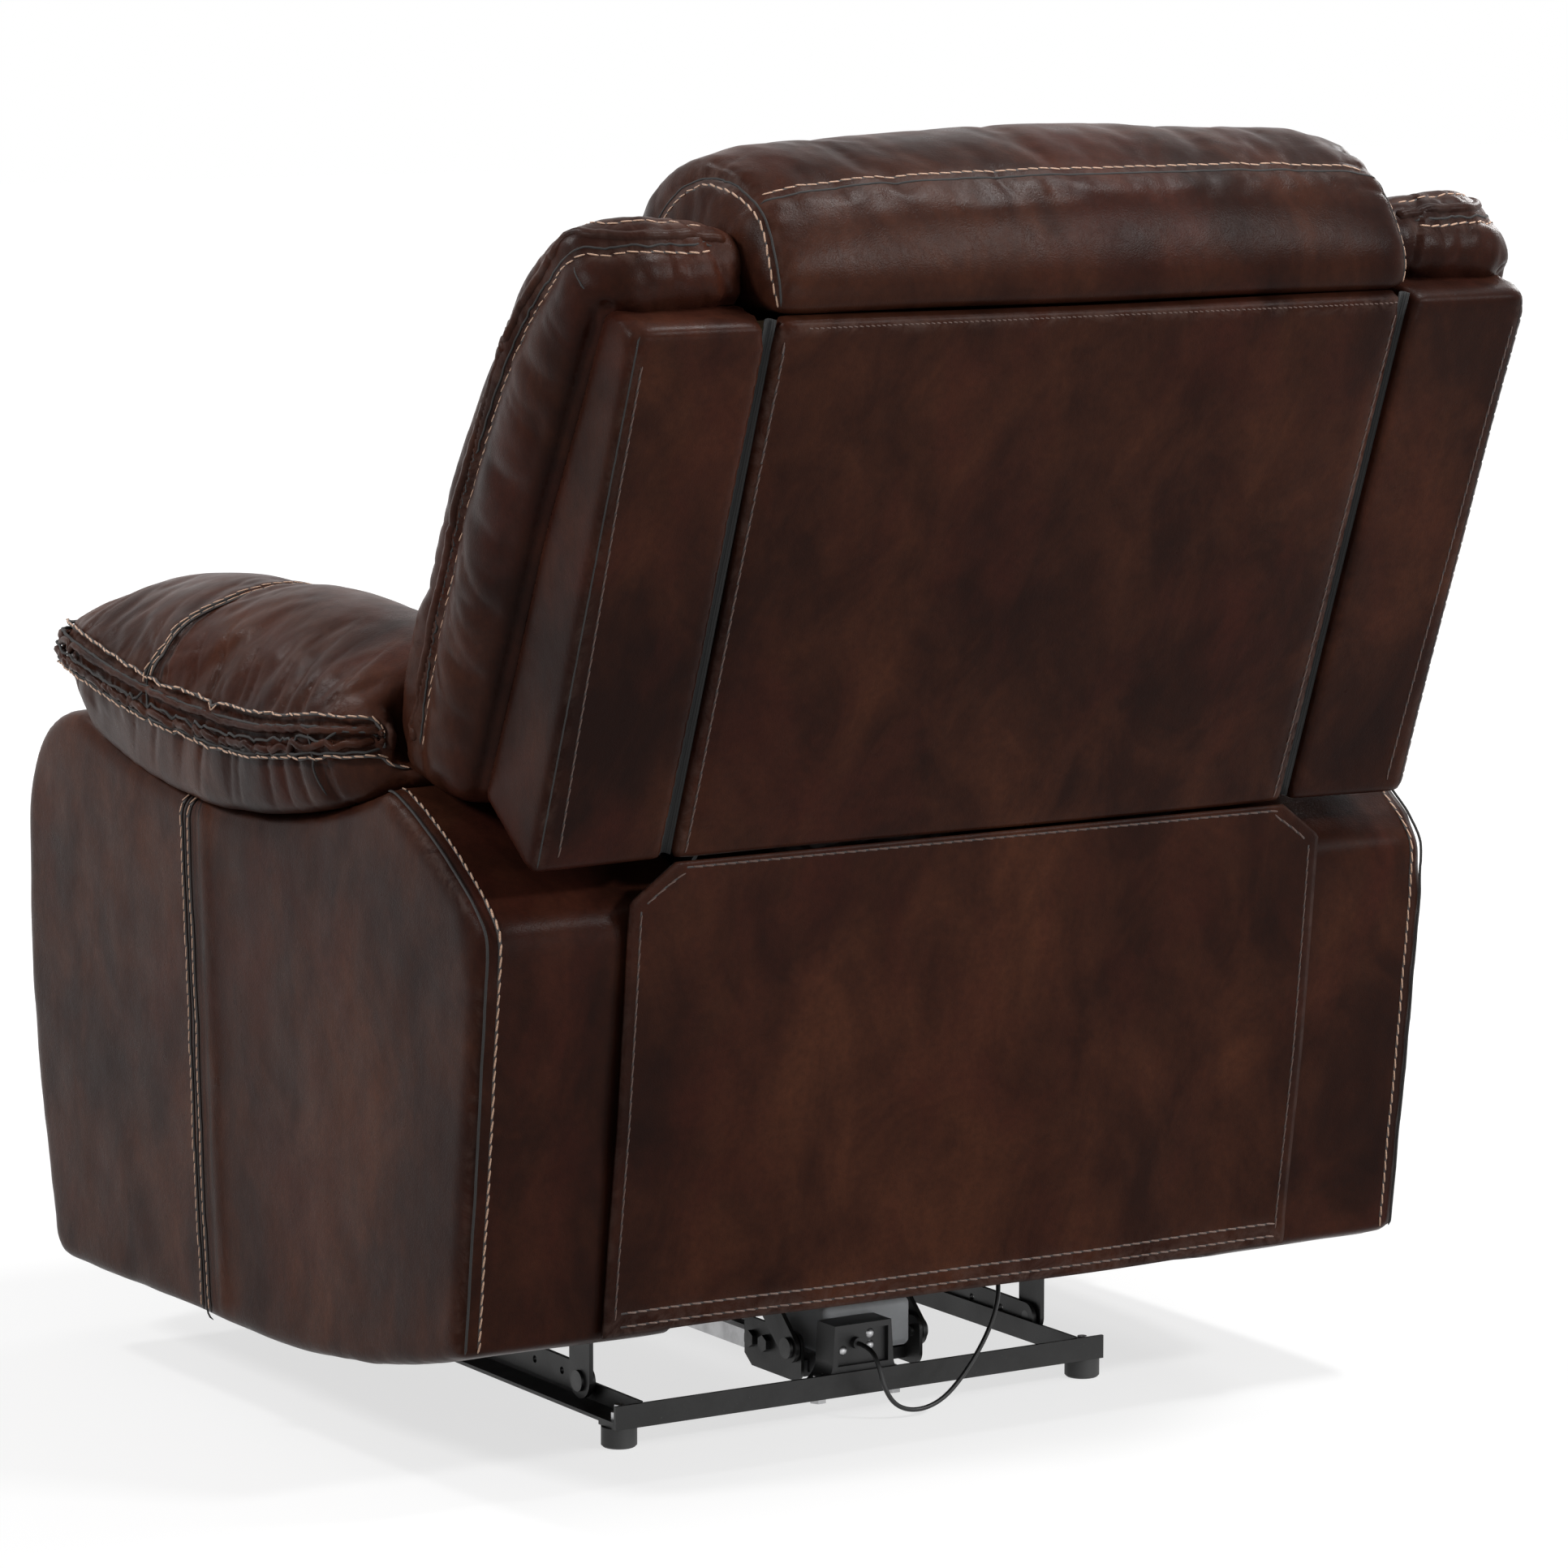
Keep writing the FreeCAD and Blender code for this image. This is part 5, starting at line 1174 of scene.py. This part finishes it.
def fit_crown(piece, low=0.962):
    """Raises the smoothed headrest to its measured outline above the back panel."""
    co = coords(piece.data)
    bins = np.round(co[:, 0] / 0.008).astype(int)
    bins -= bins.min()
    top = np.full(bins.max() + 1, low)
    np.maximum.at(top, bins, co[:, 2])
    top = np.convolve(np.pad(top, 2, mode="edge"), np.ones(5) / 5, "valid")
    wanted = np.interp(co[:, 0], [c[0] for c in CROWN], [c[1] for c in CROWN])
    share = np.clip((co[:, 2] - low) / np.maximum(top[bins] - low, 0.01), 0, 1)
    lift = np.clip(wanted - top[bins], -0.02, 0.03)
    co[:, 2] += lift * share ** 0.6
    put(piece.data, co)


def make_headrest():
    piece = remeshed(["headrest"], "headrest_cover", 0.0056, 24, swell=0.0022)
    fit_crown(piece)
    relax(piece.data, 2)
    gussets = [densify(side_line(s * GUSSET_X, GUSSET)) for s in (1, -1)]
    crown = densify([(0.296, 0.482, 1.038), (0.24, 0.482, 1.046), (0.15, 0.482, 1.051),
                     (0.03, 0.482, 1.052), (-0.137, 0.482, 1.052), (-0.24, 0.482, 1.049),
                     (-0.302, 0.482, 1.045)])
    front = densify([(0.29, 0.285, 0.962), (0.15, 0.272, 0.972), (0, 0.268, 0.975),
                     (-0.15, 0.272, 0.972), (-0.29, 0.285, 0.962)])
    held = held_near(piece, gussets + [crown], 0.006)
    co = coords(piece.data)
    held = np.where((co[:, 2] < 0.945) | ((co[:, 1] > 0.475) & (co[:, 2] < 1.03)), 1.0, held)
    puff(piece, held, 2.5, 0.012, 16, 0.005)
    relax(piece.data, 2)
    refined(piece)
    lumps(piece, 0.0016, 5.0, 12.0)
    for i, line in enumerate(gussets):
        groove(piece, line, 0.0026, 0.0042, [(0.0012, 0.018, 0.012, 63 + i)])
        outside = line + np.sign(line[0, 0]) * np.array([0.006, 0, 0])
        groove(piece, outside, 0.0, 0.0040, [(0.0060, 0.040, 0.026, 61 + i)])
    groove(piece, crown, 0.0022, 0.0038, [(0.0012, 0.018, 0.012, 66)])
    groove(piece, front, 0.0030, 0.0060, [(0.0040, 0.050, 0.030, 67)])
    edge_wear_and_sheen(piece, gussets + [crown], 0.008)
    placed(piece, "back", ["headrest"], fill=0.75)
    for k, line in enumerate(gussets):
        x, y, z = GUSSET_CENTRE
        inward = np.array([x if k == 0 else -x, y, z]) - line
        inward /= np.linalg.norm(inward, axis=1)[:, None]
        row = (line + inward * GUSSET_ROW)[::8]
        sewn(f"gusset_{k}", piece, [tuple(p) for p in row], "back")
        seam_line(f"gusset_{k}", piece, line[::8], "back")
    up = [(x, y - 0.007, z + 0.003) for x, y, z in crown[4:-4:8]]
    sewn("crown_seam", piece, up, "back")
    seam_line("crown_seam", piece, crown[::8], "back")


# Front cushions
def make_cushion(node, name, body, seams, keep, voxel=0.0060, cap=0.014, fill=0.65, seed=71):
    """Puffed cushion whose channels are sewn after its cover has swollen."""
    piece = remeshed([node], name, voxel, 4)
    lines = [densify(seam) for seam in seams]
    held = held_near(piece, lines, 0.0065)
    held = np.where(keep(coords(piece.data)), 1.0, held)
    puff(piece, held, 4.0, 0.05, 18, cap)
    lumps(piece, 0.0020, 9.0, seed * 0.1)
    for i, line in enumerate(lines):
        groove(piece, line, 0.0040, 0.0070, [(0.0060, 0.050, 0.034, seed + i)])
    edge_wear_and_sheen(piece, lines, 0.008)
    placed(piece, body, [node], fill=fill)
    for k, line in enumerate(lines):
        seam_line(f"{name}_{k}", piece, line[::8], body)
        for side, shift in enumerate(offsets(line, 0.0065)):
            sewn(f"{name}_{k}_{side}", piece, shift[::8], body)


def offsets(line, gap):
    """The line moved to each side, square to its run, in the plane that it faces."""
    run = line[-1] - line[0]
    aside = np.array([0, 0, 1.0]) if abs(run[0]) > abs(run[1]) + abs(run[2]) else np.array([1.0, 0, 0])
    return [line + aside * gap, line - aside * gap]


def make_front():
    nose = [(0.245, -0.492, 0.447), (0.12, -0.499, 0.452), (0, -0.502, 0.453),
            (-0.12, -0.499, 0.452), (-0.245, -0.492, 0.447)]
    channels = [[(s * 0.150, -0.49, 0.470), (s * 0.148, -0.43, 0.497), (s * 0.146, -0.2, 0.505),
                 (s * 0.146, 0.03, 0.502)] for s in (1, -1)]
    make_cushion("seat_cushion", "seat_cover", "seat", [nose] + channels,
                 lambda c: (c[:, 2] < 0.40) | (np.abs(c[:, 0]) > 0.2525) | (c[:, 1] > 0.052))
    make_cushion("lumbar_cushion", "lumbar_cover", "back",
                 [[(0.0, 0.12, 0.47), (0.0, 0.105, 0.58), (0.0, 0.15, 0.68)]],
                 lambda c: (np.abs(c[:, 0]) > 0.2525) | (c[:, 2] < 0.446) | (c[:, 2] > 0.696)
                 | (c[:, 1] > 0.19 + (c[:, 2] - 0.44) * 0.37), cap=0.012, seed=81)
    make_cushion("upper_cushion", "upper_cover", "back",
                 [[(0.0, 0.19, 0.73), (0.0, 0.20, 0.80), (0.0, 0.255, 0.88)]],
                 lambda c: (np.abs(c[:, 0]) > 0.294) | (c[:, 2] < 0.712) | (c[:, 2] > 0.896)
                 | (c[:, 1] > 0.28 + (c[:, 2] - 0.70) * 0.37), cap=0.012, seed=91)
    make_cushion("footrest_pad", "footrest_cover", "footrest",
                 [[(s * 0.16, -0.50, 0.115), (s * 0.155, -0.515, 0.25), (s * 0.16, -0.50, 0.395)]
                  for s in (1, -1)],
                 lambda c: c[:, 1] > -0.492, voxel=0.0055, cap=0.008, seed=101)


# Cable
CABLE_POINTS = [
    (5, 172.8, 60), (5, 192, 60), (4, 203, 46), (2, 207, 29), (-7, 208, 14), (-22, 208, 6.5),
    (-40, 208, 6.2), (-58, 208, 13), (-75, 207, 27), (-91, 206, 45), (-106, 204, 66),
    (-117, 200, 88), (-122, 192, 109), (-120, 174, 124), (-110, 152, 126), (-99, 128, 115),
    (-87, 110, 102), (-62.8, 106, 99),
]
CABLE_D = 0.004


def make_cable():
    curve = bpy.data.curves.new("motor_cable_line", "CURVE")
    curve.dimensions = "3D"
    curve.bevel_depth = CABLE_D / 2
    curve.bevel_resolution = 4
    curve.use_fill_caps = True
    curve.resolution_u = 10
    line = curve.splines.new("NURBS")
    line.points.add(len(CABLE_POINTS) - 1)
    route = metres(CABLE_POINTS)
    for point, place in zip(line.points, route):
        point.co = (*place, 1.0)
    line.order_u = 3
    line.use_endpoint_u = True
    cable = bpy.data.objects.new("motor_cable_line", curve)
    SCENE.collection.objects.link(cable)
    curve.materials.append(MAT["cable_jacket"])
    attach(cable, "base")
    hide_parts("motor_cable")


def main():
    add_camera()
    add_world()
    add_lights()
    add_floor()
    make_cable()
    dress_cad()
    make_arm()
    make_arm_pad()
    make_bolster()
    make_wing()
    make_gap_lining()
    make_right_side()
    make_back_panel()
    make_flap()
    make_headrest()
    make_front()
    SCENE.view_settings.view_transform = "Standard"


main()
